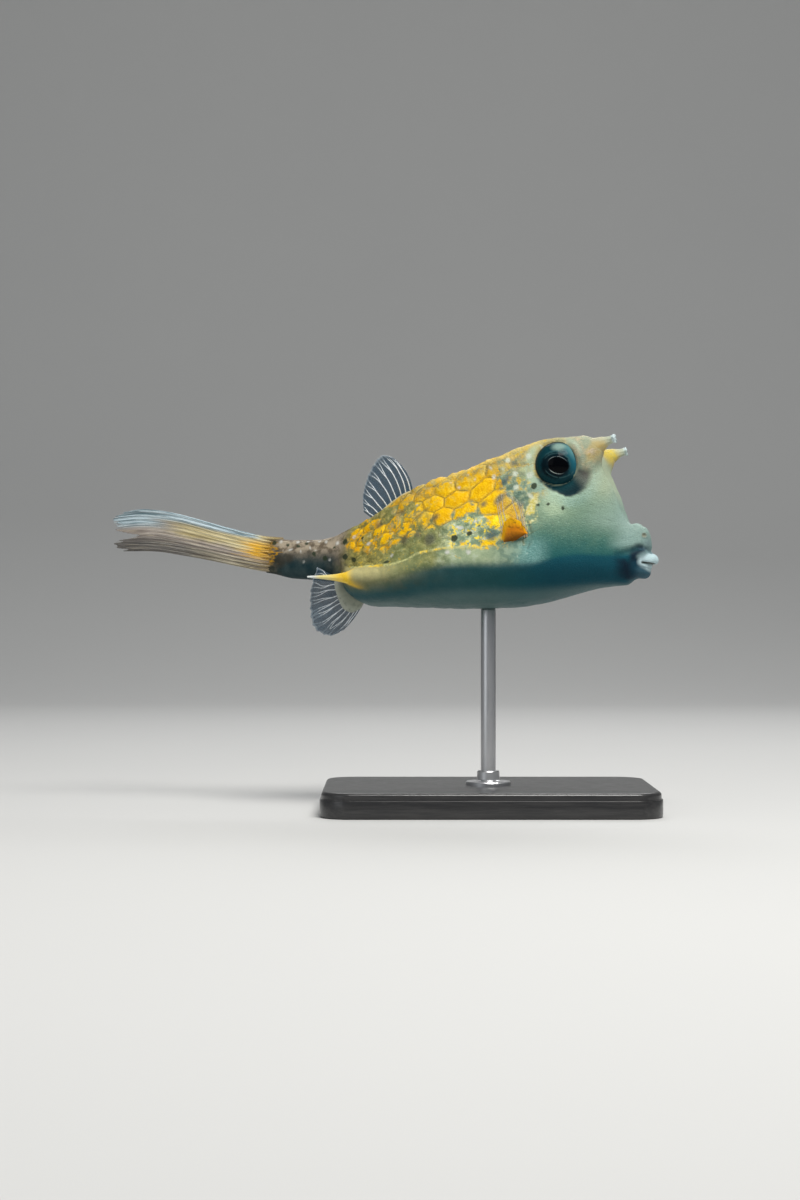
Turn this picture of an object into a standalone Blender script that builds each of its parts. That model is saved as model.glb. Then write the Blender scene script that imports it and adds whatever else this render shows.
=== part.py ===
"""Longhorn cowfish (Lactoria cornuta), a still, life-size model on a plain display stand.

The fish is modelled in its own frame, in millimetres: +X to the snout, +Y to its left,
+Z up, with x = 0 at the root of the tail fin. An empty then banks and turns the whole
fish above the stand. The body is one loft through named stations, parted by thin cuts.
"""

import math

import bmesh
import bpy
import numpy as np
from mathutils import Vector

for old in list(bpy.data.objects):
    bpy.data.objects.remove(old, do_unlink=True)

MM = 0.001
GAP = 0.30  # gap between touching pieces, mm

# ---- pose of the fish above the stand -------------------------------------
BANK_DEG = 5.5  # roll, belly towards -Y
TURN_DEG = 14.0  # yaw, head towards -Y
BALANCE = (88.6, 0.0, 3.4)  # point of the fish that stands over the base's centre, mm
BALANCE_HEIGHT = 108.0  # its height above the floor, mm

# ---- stand ----------------------------------------------------------------
BASE_LENGTH, BASE_WIDTH, BASE_HEIGHT = 132.0, 84.0, 10.0
BASE_CORNER, BASE_EDGE = 12.0, 1.2
ROD_RADIUS = 3.0

# ---- body stations: half widths and heights of the shell's ridges, mm ------
#    x     crown  ridge width/height  crease w/z    keel w/z      lower edge w/z  belly
STATIONS = (
    (-1.5, 4.3, 1.5, 3.2, 2.3, 0.0, 2.6, -3.2, 2.2, -6.8, -10.4),
    (9.0, 3.3, 2.2, 1.9, 3.3, -1.5, 3.7, -4.8, 3.2, -8.5, -12.9),
    (18.0, 3.4, 2.7, 1.9, 4.1, -1.5, 4.5, -5.0, 3.9, -9.0, -13.5),
    (25.0, 4.7, 3.2, 3.1, 4.8, -1.5, 5.3, -5.2, 4.6, -9.6, -14.5),
    (29.0, 6.5, 3.8, 5.2, 6.0, -3.0, 6.6, -6.5, 5.6, -11.0, -15.7),
    (32.0, 7.7, 4.8, 6.6, 9.5, -7.6, 11.0, -11.6, 9.5, -16.1, -18.8),
    (37.0, 9.9, 5.8, 8.6, 13.0, -9.5, 15.2, -13.2, 13.5, -18.5, -22.4),
    (43.0, 13.1, 7.0, 11.8, 15.8, -9.8, 17.8, -13.7, 15.8, -19.0, -24.1),
    (50.0, 17.0, 8.2, 15.8, 18.0, -9.5, 19.8, -13.2, 17.6, -18.2, -24.1),
    (57.0, 21.6, 9.4, 20.4, 19.4, -8.4, 21.2, -12.2, 18.8, -17.2, -24.5),
    (66.0, 25.7, 10.6, 24.5, 20.6, -4.6, 22.0, -10.1, 19.8, -15.4, -24.8),
    (78.0, 29.1, 11.8, 28.0, 21.2, -2.6, 22.6, -8.7, 20.4, -13.8, -25.3),
    (90.0, 32.8, 12.8, 32.5, 21.2, -2.4, 22.6, -8.4, 20.4, -13.4, -25.2),
    (103.0, 36.4, 13.4, 37.5, 20.4, -2.1, 21.8, -8.1, 19.6, -13.2, -24.4),
    (112.0, 37.4, 13.8, 40.7, 19.2, -1.8, 20.4, -7.8, 18.4, -12.7, -22.8),
    (121.0, 37.2, 14.2, 41.6, 17.4, -1.5, 18.4, -7.3, 16.6, -11.8, -20.3),
    (128.0, 37.0, 14.4, 41.8, 15.4, -1.4, 16.2, -7.0, 14.6, -11.2, -18.2),
    (132.0, 34.6, 13.9, 39.3, 14.2, -1.4, 14.9, -6.8, 13.4, -11.0, -17.2),
    (135.5, 26.6, 12.4, 30.4, 13.1, -1.5, 13.6, -6.7, 12.2, -10.8, -16.6),
    (139.5, 19.8, 10.4, 21.8, 11.3, -1.5, 11.8, -6.5, 10.6, -10.6, -16.1),
    (144.0, 11.5, 7.8, 11.6, 8.9, -1.6, 9.3, -6.2, 8.4, -10.0, -15.8),
    (147.5, 10.6, 6.2, 9.7, 7.4, -1.7, 7.7, -5.9, 7.0, -9.3, -13.5),
    (150.5, 7.4, 4.6, 6.2, 5.8, -2.0, 6.1, -5.6, 5.6, -8.7, -12.2),
)
MUZZLE_CAP = 3.4  # how far the muzzle rounds forward past the last station
MUZZLE_MIDDLE = -3.4

TAIL_CUT_X = 30.2  # rear rim of the shell, round the root of the tail
HEAD_CUT_X, HEAD_CUT_LEAN = 111.2, 0.14  # gill opening: the cut leans back as it rises

# ---- eyes, horns, spines, lips ---------------------------------------------
EYE_CENTRE = (118.7, 12.6, 29.8)
EYE_RADIUS, EYE_DEPTH = 9.1, 7.2
HORN_PATH = ((128.0, 12.4, 34.2), (132.0, 13.6, 36.6), (135.4, 14.5, 38.1), (138.8, 15.2, 39.1), (141.2, 15.7, 40.2))
HORN_RADII = (5.8, 4.6, 2.9, 1.45, 1.8)
SPINE_PATH = ((41.0, 15.4, -13.6), (35.5, 15.6, -13.9), (29.0, 15.2, -13.8), (18.4, 14.2, -13.4))
SPINE_RADII = (3.1, 2.4, 1.2, 0.35)
UPPER_LIP_PATH = ((150.0, 4.6, -6.8), (152.8, 3.1, -6.2), (154.0, 0.0, -5.8), (152.8, -3.1, -6.2), (150.0, -4.6, -6.8))
UPPER_LIP_RADII = (1.3, 2.2, 2.6, 2.2, 1.3)
LOWER_LIP_PATH = ((148.8, 3.8, -10.2), (150.9, 2.5, -10.9), (151.6, 0.0, -11.1), (150.9, -2.5, -10.9), (148.8, -3.8, -10.2))
LOWER_LIP_RADII = (0.9, 1.5, 1.8, 1.5, 0.9)


# ---- shaping helpers --------------------------------------------------------
def smooth_table(xs, ys, x):
    """Monotone cubic through the stations: no overshoot between them."""
    xs, ys, x = (np.asarray(v, float) for v in (xs, ys, x))
    step = np.diff(xs)
    slope = np.diff(ys) / step
    tangent = np.zeros_like(ys)
    for i in range(1, len(xs) - 1):
        if slope[i - 1] * slope[i] > 0:
            a, b = 2 * step[i] + step[i - 1], step[i] + 2 * step[i - 1]
            tangent[i] = (a + b) / (a / slope[i - 1] + b / slope[i])
    tangent[0], tangent[-1] = slope[0], slope[-1]
    i = np.clip(np.searchsorted(xs, x, side="right") - 1, 0, len(xs) - 2)
    t = (x - xs[i]) / step[i]
    return (
        (2 * t**3 - 3 * t**2 + 1) * ys[i]
        + (t**3 - 2 * t**2 + t) * step[i] * tangent[i]
        + (3 * t**2 - 2 * t**3) * ys[i + 1]
        + (t**3 - t**2) * step[i] * tangent[i + 1]
    )


def controls_at(x):
    """Control polygon of the shell's cross-section at each x, round the whole loop."""
    table = np.array(STATIONS)
    crown, rw, rz, cw, cz, kw, kz, lw, lz, belly = (
        smooth_table(table[:, 0], table[:, k], x) for k in range(1, 11)
    )
    at = lambda w, z: np.stack([w, z], -1)
    mix = lambda p, q, t: p + (q - p) * t
    top, ridge, crease, keel = at(0 * crown, crown), at(rw, rz), at(cw, cz), at(kw, kz)
    edge, bottom = at(lw, lz), at(0 * belly, belly)
    half = [
        top,
        mix(top, ridge, 0.5),
        mix(ridge, top, 0.16),
        ridge,
        mix(ridge, crease, 0.07),
        mix(ridge, crease, 0.5) + at(0.02 * kw, 0 * kw),
        mix(crease, ridge, 0.12),
        crease,
        keel,
        edge,
        at(lw * 0.62, belly + (lz - belly) * 0.16),
        bottom,
    ]
    mirrored = [p * np.array([-1.0, 1.0]) for p in half[-2:0:-1]]
    return np.stack(half + mirrored, 1)


def spline_loop(controls, u):
    """Closed cubic B-spline through the control polygons."""
    count = controls.shape[1]
    i = np.floor(u).astype(int)
    t = (u - i)[None, :, None]
    near = lambda k: controls[:, (i + k) % count]
    return (
        (1 - t) ** 3 * near(-1)
        + (3 * t**3 - 6 * t**2 + 4) * near(0)
        + (-3 * t**3 + 3 * t**2 + 3 * t + 1) * near(1)
        + t**3 * near(2)
    ) / 6


def material(name, rgb, roughness, metallic=0.0):
    made = bpy.data.materials.new(name)
    made.use_nodes = True
    shader = made.node_tree.nodes["Principled BSDF"]
    shader.inputs["Base Color"].default_value = (*rgb, 1.0)
    shader.inputs["Roughness"].default_value = roughness
    shader.inputs["Metallic"].default_value = metallic
    return made


pose = bpy.data.objects.new("fish_pose", None)
bpy.context.scene.collection.objects.link(pose)
pose.rotation_mode = "XYZ"
pose.rotation_euler = (math.radians(-BANK_DEG), 0.0, math.radians(-TURN_DEG))
bpy.context.view_layer.update()
turned = pose.rotation_euler.to_matrix() @ Vector(BALANCE)
pose.location = (Vector((0.0, 0.0, BALANCE_HEIGHT)) - turned) * MM


def finish(name, bm, mat, smooth=True, parent=pose, helper=False):
    """Turns a bmesh in millimetres into a named object."""
    bmesh.ops.recalc_face_normals(bm, faces=bm.faces)
    for v in bm.verts:
        v.co *= MM
    mesh = bpy.data.meshes.new(name)
    bm.to_mesh(mesh)
    bm.free()
    for face in mesh.polygons:
        face.use_smooth = smooth
    obj = bpy.data.objects.new(name, mesh)
    bpy.context.scene.collection.objects.link(obj)
    obj.parent = parent
    if mat:
        mesh.materials.append(mat)
    if helper:
        obj.hide_render = True
        obj.display_type = "WIRE"
    return obj


def loft(rows, close_ends=True):
    """Closed bmesh through rings of equal length; a ring of one point is a pole."""
    bm = bmesh.new()
    rings = [[bm.verts.new(p) for p in row] for row in rows]
    for a, b in zip(rings, rings[1:]):
        n = max(len(a), len(b))
        for j in range(n):
            k = (j + 1) % n
            if len(a) == 1:
                bm.faces.new((a[0], b[j], b[k]))
            elif len(b) == 1:
                bm.faces.new((a[j], b[0], a[k]))
            else:
                bm.faces.new((a[j], b[j], b[k], a[k]))
    if close_ends:
        for ring in (rings[0], rings[-1]):
            if len(ring) > 2:
                bm.faces.new(ring)
    return bm


def curve_point(path, t):
    """Catmull-Rom point along a short list of points, t from 0 to 1."""
    p = np.array(path, float)
    s = np.clip(t, 0, 1) * (len(p) - 1)
    i = min(int(s), len(p) - 2)
    f = s - i
    a = p[i - 1] if i else 2 * p[0] - p[1]
    d = p[i + 2] if i + 2 < len(p) else 2 * p[-1] - p[-2]
    b, c = p[i], p[i + 1]
    return 0.5 * (2 * b + (c - a) * f + (2 * a - 5 * b + 4 * c - d) * f**2 + (3 * b - a - 3 * c + d) * f**3)


def tube_rows(path, radii, side, steps, around, grow=0.0, ragged=0.0):
    """Rings of a tapered tube; side mirrors it in Y, grow makes a cutter of it."""
    rows = []
    path = [(p[0], p[1] * side, p[2]) for p in path]
    radii = [(r,) for r in radii]
    for i in range(steps + 1):
        t = i / steps
        here = curve_point(path, t)
        ahead = curve_point(path, min(1, t + 0.02)) - curve_point(path, max(0, t - 0.02))
        along = Vector(ahead).normalized()
        across = along.cross(Vector((0, 0, 1))).normalized()
        up = across.cross(along)
        radius = float(curve_point(radii, t)[0]) + grow
        shift = along * (grow if i == steps else -grow if i == 0 else 0)
        ring = []
        for j in range(around):
            a = 2 * math.pi * j / around
            jag = along * ragged * math.sin(3 * a + 1.0) if i == steps else Vector()
            ring.append(Vector(here) + shift + jag + (across * math.cos(a) + up * math.sin(a)) * radius)
        rows.append(ring)
    return rows


def cut(obj, cutter):
    modifier = obj.modifiers.new("cut_" + cutter.name, "BOOLEAN")
    modifier.operation = "DIFFERENCE"
    modifier.solver = "EXACT"
    modifier.object = cutter


# ---- the body, whole, then parted -------------------------------------------
RING_SAMPLES = (2, 1, 1, 1, 3, 3, 1, 2, 2, 2, 1)  # points in each span of half a ring
BODY_X = (
    -1.5, 5, 12, 18, 23, 27, 30.2, 32.2, 35, 39, 43.5, 49, 55, 61, 68, 76, 84, 92, 99, 105, 110,
    114.5, 119, 123.5, 127, 129.7, 131.6, 133.2, 135, 137.4, 140.2, 142.6, 144.8, 147, 148.9, 150.5,
)


def body_rows():
    spans = RING_SAMPLES + RING_SAMPLES[::-1]
    u = np.array([k + j / n for k, n in enumerate(spans) for j in range(n)])
    x = np.array(BODY_X, float)
    loops = spline_loop(controls_at(x), u)
    rows = [[(xi, *p) for p in loop] for xi, loop in zip(x, loops)]
    for turn in (0.35, 0.65, 0.87):  # the muzzle rounds over to a pole
        a = turn * math.pi / 2
        last = loops[-1]
        rows.append([
            (x[-1] + MUZZLE_CAP * math.sin(a), p[0] * math.cos(a), MUZZLE_MIDDLE + (p[1] - MUZZLE_MIDDLE) * math.cos(a))
            for p in last
        ])
    rows.append([(x[-1] + MUZZLE_CAP, 0.0, MUZZLE_MIDDLE)])
    return rows


def body_slice(name, mat, cuts):
    """The whole body kept on the inner side of each (point, outward normal) cut."""
    bm = loft(body_rows())
    for point, normal in cuts:
        found = bmesh.ops.bisect_plane(
            bm, geom=bm.verts[:] + bm.edges[:] + bm.faces[:], dist=1e-4, plane_co=point, plane_no=normal, clear_outer=True
        )
        edges = [e for e in found["geom_cut"] if isinstance(e, bmesh.types.BMEdge)]
        bmesh.ops.edgeloop_fill(bm, edges=edges)
    return finish(name, bm, mat)


head_normal = Vector((1.0, 0.0, HEAD_CUT_LEAN)).normalized()
head_point = Vector((HEAD_CUT_X, 0.0, 0.0))
half_gap = GAP / 2
skin_head = material("skin_head", (0.42, 0.47, 0.38), 0.55)
skin_trunk = material("skin_trunk", (0.72, 0.55, 0.14), 0.5)
skin_tail = material("skin_tail", (0.45, 0.42, 0.36), 0.55)
lip_skin = material("lip_skin", (0.66, 0.66, 0.58), 0.5)
head = body_slice("head", skin_head, [(head_point + head_normal * half_gap, -head_normal)])
trunk = body_slice(
    "trunk",
    skin_trunk,
    [(head_point - head_normal * half_gap, head_normal), (Vector((TAIL_CUT_X + half_gap, 0, 0)), Vector((-1, 0, 0)))],
)
tail = body_slice("tail_peduncle", skin_tail, [(Vector((TAIL_CUT_X - half_gap, 0, 0)), Vector((1, 0, 0)))])


# ---- eyes --------------------------------------------------------------------
def eye_rows(side, grow=0.0, steps=10, around=20):
    cx, cy, cz = EYE_CENTRE
    rows = []
    for i in range(steps + 1):
        a = math.pi * i / steps
        y = side * (cy - (EYE_DEPTH + grow) * math.cos(a))
        r = (EYE_RADIUS + grow) * math.sin(a)
        if i in (0, steps):
            rows.append([(cx, y, cz)])
        else:
            rows.append([
                (cx + r * math.cos(2 * math.pi * j / around), y, cz + r * math.sin(2 * math.pi * j / around))
                for j in range(around)
            ])
    return rows


eye_mat = material("eye", (0.03, 0.06, 0.07), 0.15)
horn_mat = material("horn", (0.74, 0.66, 0.42), 0.5)
spine_mat = material("spine", (0.78, 0.62, 0.25), 0.5)
for side, word in ((-1, "right"), (1, "left")):
    finish("eye_" + word, loft(eye_rows(side)), eye_mat)
    cut(head, finish("eye_socket_" + word, loft(eye_rows(side, GAP)), None, helper=True))
    finish("horn_" + word, loft(tube_rows(HORN_PATH, HORN_RADII, side, 8, 10, ragged=0.45)), horn_mat)
    cut(head, finish("horn_seat_" + word, loft(tube_rows(HORN_PATH, HORN_RADII, side, 8, 10, GAP)), None, helper=True))
    finish("spine_" + word, loft(tube_rows(SPINE_PATH, SPINE_RADII, side, 7, 9)), spine_mat)
    cut(trunk, finish("spine_seat_" + word, loft(tube_rows(SPINE_PATH, SPINE_RADII, side, 7, 9, GAP)), None, helper=True))

# ---- lips ---------------------------------------------------------------------
for name, path, radii in (
    ("lip_upper", UPPER_LIP_PATH, UPPER_LIP_RADII),
    ("lip_lower", LOWER_LIP_PATH, LOWER_LIP_RADII),
):
    finish(name, loft(tube_rows(path, radii, 1, 10, 9)), lip_skin)
    cut(head, finish(name + "_seat", loft(tube_rows(path, radii, 1, 10, 9, GAP)), None, helper=True))


# ---- fins ----------------------------------------------------------------------
def fan_rows(front, rear, tips, rays, steps, place, root, rim, ray_lift, lobe=0.0, bow=0.0, grow=0.0, only=1.0):
    """A fin as rings round its edge: rays from the line front-rear out to the curve of tips.

    place(a, b, t, s) takes the flat fin to the fish; root and rim are half thicknesses.
    """
    columns = 2 * rays + 1
    front, rear = np.array(front, float), np.array(rear, float)
    sheet = []
    for i in range(columns):
        t = i / (columns - 1)
        foot, tip = front + (rear - front) * t, curve_point(tips, t)
        span = tip - foot
        bulge = np.array([-span[1], span[0]]) * bow * (1 - t)
        line = []
        for j in range(steps + 1):
            s = only * j / steps
            flat = foot + span * s + bulge * 4 * s * (1 - s)
            flesh = min(1.0, max(0.0, (s - lobe) / 0.28))
            thick = root + (rim - root) * flesh * flesh * (3 - 2 * flesh)
            thick += (ray_lift if i % 2 else 0.0) * (1 - 0.5 * s)
            line.append((flat, t, s, thick + grow))
        sheet.append(line)
    if grow:  # a cutter reaches past the fin's edges and root too
        flat = [[point[0] for point in line] for line in sheet]
        unit = lambda v: v / (np.linalg.norm(v) + 1e-9)
        for i, line in enumerate(sheet):
            for j, point in enumerate(line):
                reach = np.zeros(2)
                if i in (0, columns - 1):
                    reach += unit(flat[i][j] - flat[1 if i == 0 else i - 1][j])
                if j == 0:
                    reach += unit(flat[i][0] - flat[i][1])
                line[j] = (point[0] + reach * grow * 1.6, *point[1:])
    rows = []
    for j in range(steps + 1):
        side_a = [place(*sheet[i][j][0], sheet[i][j][1], sheet[i][j][2], sheet[i][j][3]) for i in range(columns)]
        side_b = [place(*sheet[i][j][0], sheet[i][j][1], sheet[i][j][2], -sheet[i][j][3]) for i in reversed(range(columns))]
        rows.append(side_a + side_b)
    return rows


def capped(rows):
    """Loft of fin rings with both ends zipped across the thickness."""
    bm = loft(rows, close_ends=False)
    bm.verts.ensure_lookup_table()
    n = len(rows[0])
    for start in (0, len(rows) * n - n):
        ring = [bm.verts[start + j] for j in range(n)]
        for j in range(n // 2 - 1):
            bm.faces.new((ring[j], ring[j + 1], ring[n - 2 - j], ring[n - 1 - j]))
    return bm


def fin(name, mat, spec, hosts, room=GAP):
    """The fin, and its seat cut into each host along the first few steps of its rays."""
    made = finish(name, capped(fan_rows(**spec)), mat)
    for solid, seat_steps in hosts:
        seat = dict(spec, grow=room, only=seat_steps / spec["steps"], steps=seat_steps)
        cut(solid, finish(f"{name}_seat_{solid.name}", capped(fan_rows(**seat)), None, helper=True))
    return made


def upright(a, b, t, s, h):
    """Fin on the fish's middle plane."""
    return (a, h, b)


def folded(a, b, t, s, h):
    """Anal fin: its last rays stand out beside the right of the tail's root."""
    swing = min(1.0, max(0.0, (t - 0.6) / 0.4))
    return (a, h - 7.8 * swing * swing * (3 - 2 * swing), b)


fin_mat = material("fin_clear", (0.62, 0.70, 0.74), 0.35)
caudal_mat = material("fin_caudal", (0.72, 0.68, 0.58), 0.45)
pectoral_mat = material("fin_pectoral", (0.82, 0.45, 0.05), 0.4)

DORSAL = dict(
    front=(57.5, 20.8), rear=(41.5, 11.0),
    tips=((48.4, 36.6), (43.6, 37.2), (39.2, 31.0), (36.6, 22.0), (37.0, 14.4)),
    rays=9, steps=5, place=upright, root=0.9, rim=0.3, ray_lift=0.22, bow=-0.12,
)
ANAL = dict(
    front=(38.6, -20.6), rear=(31.6, -14.6),
    tips=((29.8, -33.6), (24.0, -36.0), (17.6, -33.0), (15.6, -26.0), (16.6, -18.6), (20.4, -8.8)),
    rays=9, steps=6, place=folded, root=2.1, rim=0.28, ray_lift=0.2, lobe=0.2, bow=0.06,
)
fin("dorsal_fin", fin_mat, DORSAL, ((trunk, 2),))
fin("anal_fin", fin_mat, ANAL, ((trunk, 3), (tail, 3)), room=2 * GAP)

# The tail fin is folded like a brush, split near its end into two lobes.
CAUDAL_TOP = ((-1.9, 4.2), (-12.0, 6.4), (-22.8, 9.1), (-42.5, 14.4), (-55.6, 16.4), (-63.0, 15.4))
CAUDAL_BOTTOM = ((-1.9, -10.2), (-14.0, -7.9), (-28.2, -4.9), (-40.0, -2.8), (-49.0, -1.2), (-60.0, -1.0))
CAUDAL_ENDS = (-65.5, -70.0, -70.8, -69.8, -68.0, -59.6, -68.4, -69.0, -65.5)  # end of each streak of rays
CAUDAL_ROOT, CAUDAL_RIM, CAUDAL_RIB = 2.3, 0.4, 0.25


def caudal_rows(columns=15, steps=9):
    rows = []
    ends = [(e,) for e in CAUDAL_ENDS]
    for j in range(steps + 1):
        s = j / steps
        one, two = [], []
        for i in range(columns):
            t = i / (columns - 1)
            top, bottom = curve_point(CAUDAL_TOP, s), curve_point(CAUDAL_BOTTOM, s)
            p = top + (bottom - top) * t
            reach = float(curve_point(ends, t)[0])
            straight = top[0] + (bottom[0] - top[0]) * t
            last = CAUDAL_TOP[-1][0] + (CAUDAL_BOTTOM[-1][0] - CAUDAL_TOP[-1][0]) * t
            x = straight + (reach - last) * max(0.0, (s - 0.55) / 0.45) ** 1.5
            body = math.sin(math.pi * min(max(t, 0.0), 1.0)) ** 0.5
            thick = (CAUDAL_ROOT * (1 - s) ** 1.2 * (0.35 + 0.65 * body)) + CAUDAL_RIM
            thick += (CAUDAL_RIB if i % 2 else 0.0)
            sway = 0.9 * math.sin(2.2 * math.pi * t) * s
            one.append((x, sway + thick, p[1]))
            two.append((x, sway - thick, p[1]))
        rows.append(one + two[::-1])
    return rows


finish("caudal_fin", capped(caudal_rows()), caudal_mat)

# Pectoral fins: a fleshy lobe and a clear fan that points outwards and up.
PECTORAL_FOOT = (103.6, 19.2, 0.6)
PECTORAL_ALONG = Vector((9.9, 0.0, 3.7)).normalized()  # along the line of its root, forwards
PECTORAL_OUT = Vector((-1.2, 8.4, 14.0)).normalized()  # along its middle ray
PECTORAL_ACROSS = PECTORAL_ALONG.cross(PECTORAL_OUT).normalized()
PECTORAL_TWIST = 0.62  # how far the fan has turned edge-on, in radians, at its rim


def pectoral(side):
    def place(a, b, t, s, h):
        turn = PECTORAL_TWIST * s
        sideways = PECTORAL_ALONG * math.cos(turn) - PECTORAL_ACROSS * math.sin(turn)
        through = PECTORAL_ACROSS * math.cos(turn) + PECTORAL_ALONG * math.sin(turn)
        p = Vector(PECTORAL_FOOT) + sideways * a + PECTORAL_OUT * b
        p += through * (h - 1.2 * s * math.sin(math.pi * t))
        return (p.x, p.y * side, p.z)

    return dict(
        front=(4.9, -1.6), rear=(-5.0, -1.6),
        tips=((5.6, 14.4), (3.2, 18.6), (-0.6, 20.4), (-4.2, 19.4), (-6.6, 16.0)),
        rays=7, steps=5, place=place, root=1.7, rim=0.28, ray_lift=0.18, lobe=0.22,
    )


for side, word in ((-1, "right"), (1, "left")):
    fin("pectoral_fin_" + word, pectoral_mat, pectoral(side), ((trunk, 2),))

# ---- display stand ----------------------------------------------------------------
stand_paint = material("stand_paint", (0.025, 0.026, 0.028), 0.35)
stand_steel = material("stand_steel", (0.62, 0.62, 0.63), 0.28, 1.0)


def base_rows():
    rows = []
    for inset, z in ((BASE_EDGE * 0.6, 0.0), (0.0, BASE_EDGE * 0.6), (0.0, BASE_HEIGHT - BASE_EDGE), (BASE_EDGE * 0.3, BASE_HEIGHT - BASE_EDGE * 0.3), (BASE_EDGE, BASE_HEIGHT)):
        ring = []
        for cx, cy, start in ((1, 1, 0), (-1, 1, 90), (-1, -1, 180), (1, -1, 270)):
            for k in range(6):
                a = math.radians(start + 90 * k / 5)
                ring.append((
                    cx * (BASE_LENGTH / 2 - BASE_CORNER) + (BASE_CORNER - inset) * math.cos(a),
                    cy * (BASE_WIDTH / 2 - BASE_CORNER) + (BASE_CORNER - inset) * math.sin(a),
                    z,
                ))
        rows.append(ring)
    return rows


finish("stand_base", loft(base_rows()), stand_paint, smooth=False, parent=None)

# The rod runs straight up to the belly and stops a hair below it.
bpy.context.view_layer.update()
belly_low = BALANCE_HEIGHT - 40.0
hit, where, _, _ = trunk.ray_cast(
    trunk.matrix_world.inverted() @ Vector((0, 0, belly_low * MM)),
    trunk.matrix_world.inverted().to_3x3() @ Vector((0, 0, 1)),
)
rod_top = (trunk.matrix_world @ where).z / MM - GAP - 0.15
rod = [
    [(ROD_RADIUS * r * math.cos(a), ROD_RADIUS * r * math.sin(a), z) for a in (2 * math.pi * j / 24 for j in range(24))]
    for r, z in ((1.0, BASE_HEIGHT + GAP), (1.0, rod_top - 0.5), (0.85, rod_top))
]
finish("stand_rod", loft(rod), stand_steel, parent=None)
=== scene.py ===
"""Looks of the longhorn cowfish display model.

The fish is shaped in its own frame, in millimetres, as in the solids: +X to the snout, +Y to
its left, +Z up, x = 0 at the root of the tail fin. `to_world` banks and turns it over the stand.
One skin is the same loft as the solids at a fine pitch, with its relief and markings worked
out on its own surface: plates, orbits, horn buttresses, lips, nostrils, gill slits and keels.
"""

import math

import bpy
import numpy as np
from mathutils import Euler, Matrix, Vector


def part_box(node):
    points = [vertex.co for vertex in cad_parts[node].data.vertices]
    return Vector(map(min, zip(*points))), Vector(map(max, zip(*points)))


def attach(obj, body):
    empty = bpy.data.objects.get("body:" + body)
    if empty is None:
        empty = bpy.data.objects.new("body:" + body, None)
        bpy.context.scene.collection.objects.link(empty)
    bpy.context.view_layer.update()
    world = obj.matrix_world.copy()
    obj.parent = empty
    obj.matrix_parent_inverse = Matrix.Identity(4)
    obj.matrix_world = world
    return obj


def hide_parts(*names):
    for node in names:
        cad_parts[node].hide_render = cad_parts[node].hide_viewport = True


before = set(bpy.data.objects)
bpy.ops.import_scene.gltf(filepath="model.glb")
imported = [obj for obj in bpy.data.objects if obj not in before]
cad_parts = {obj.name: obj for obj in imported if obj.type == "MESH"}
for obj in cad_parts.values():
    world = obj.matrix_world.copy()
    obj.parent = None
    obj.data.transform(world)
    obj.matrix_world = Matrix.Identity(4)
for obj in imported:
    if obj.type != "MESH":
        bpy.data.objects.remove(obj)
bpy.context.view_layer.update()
scene = bpy.context.scene

MM = 0.001

# ---- pose, as in the solids --------------------------------------------------
BANK_DEG, TURN_DEG = 5.5, 14.0
BALANCE = np.array((88.6, 0.0, 3.4))
BALANCE_HEIGHT = 108.0
TURN = np.array(Euler((math.radians(-BANK_DEG), 0.0, math.radians(-TURN_DEG)), "XYZ").to_matrix())
PLACE = np.array((0.0, 0.0, BALANCE_HEIGHT)) - TURN @ BALANCE


def to_world(points):
    """Fish frame in millimetres to the row frame in metres."""
    return (np.asarray(points, float) @ TURN.T + PLACE) * MM


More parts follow.
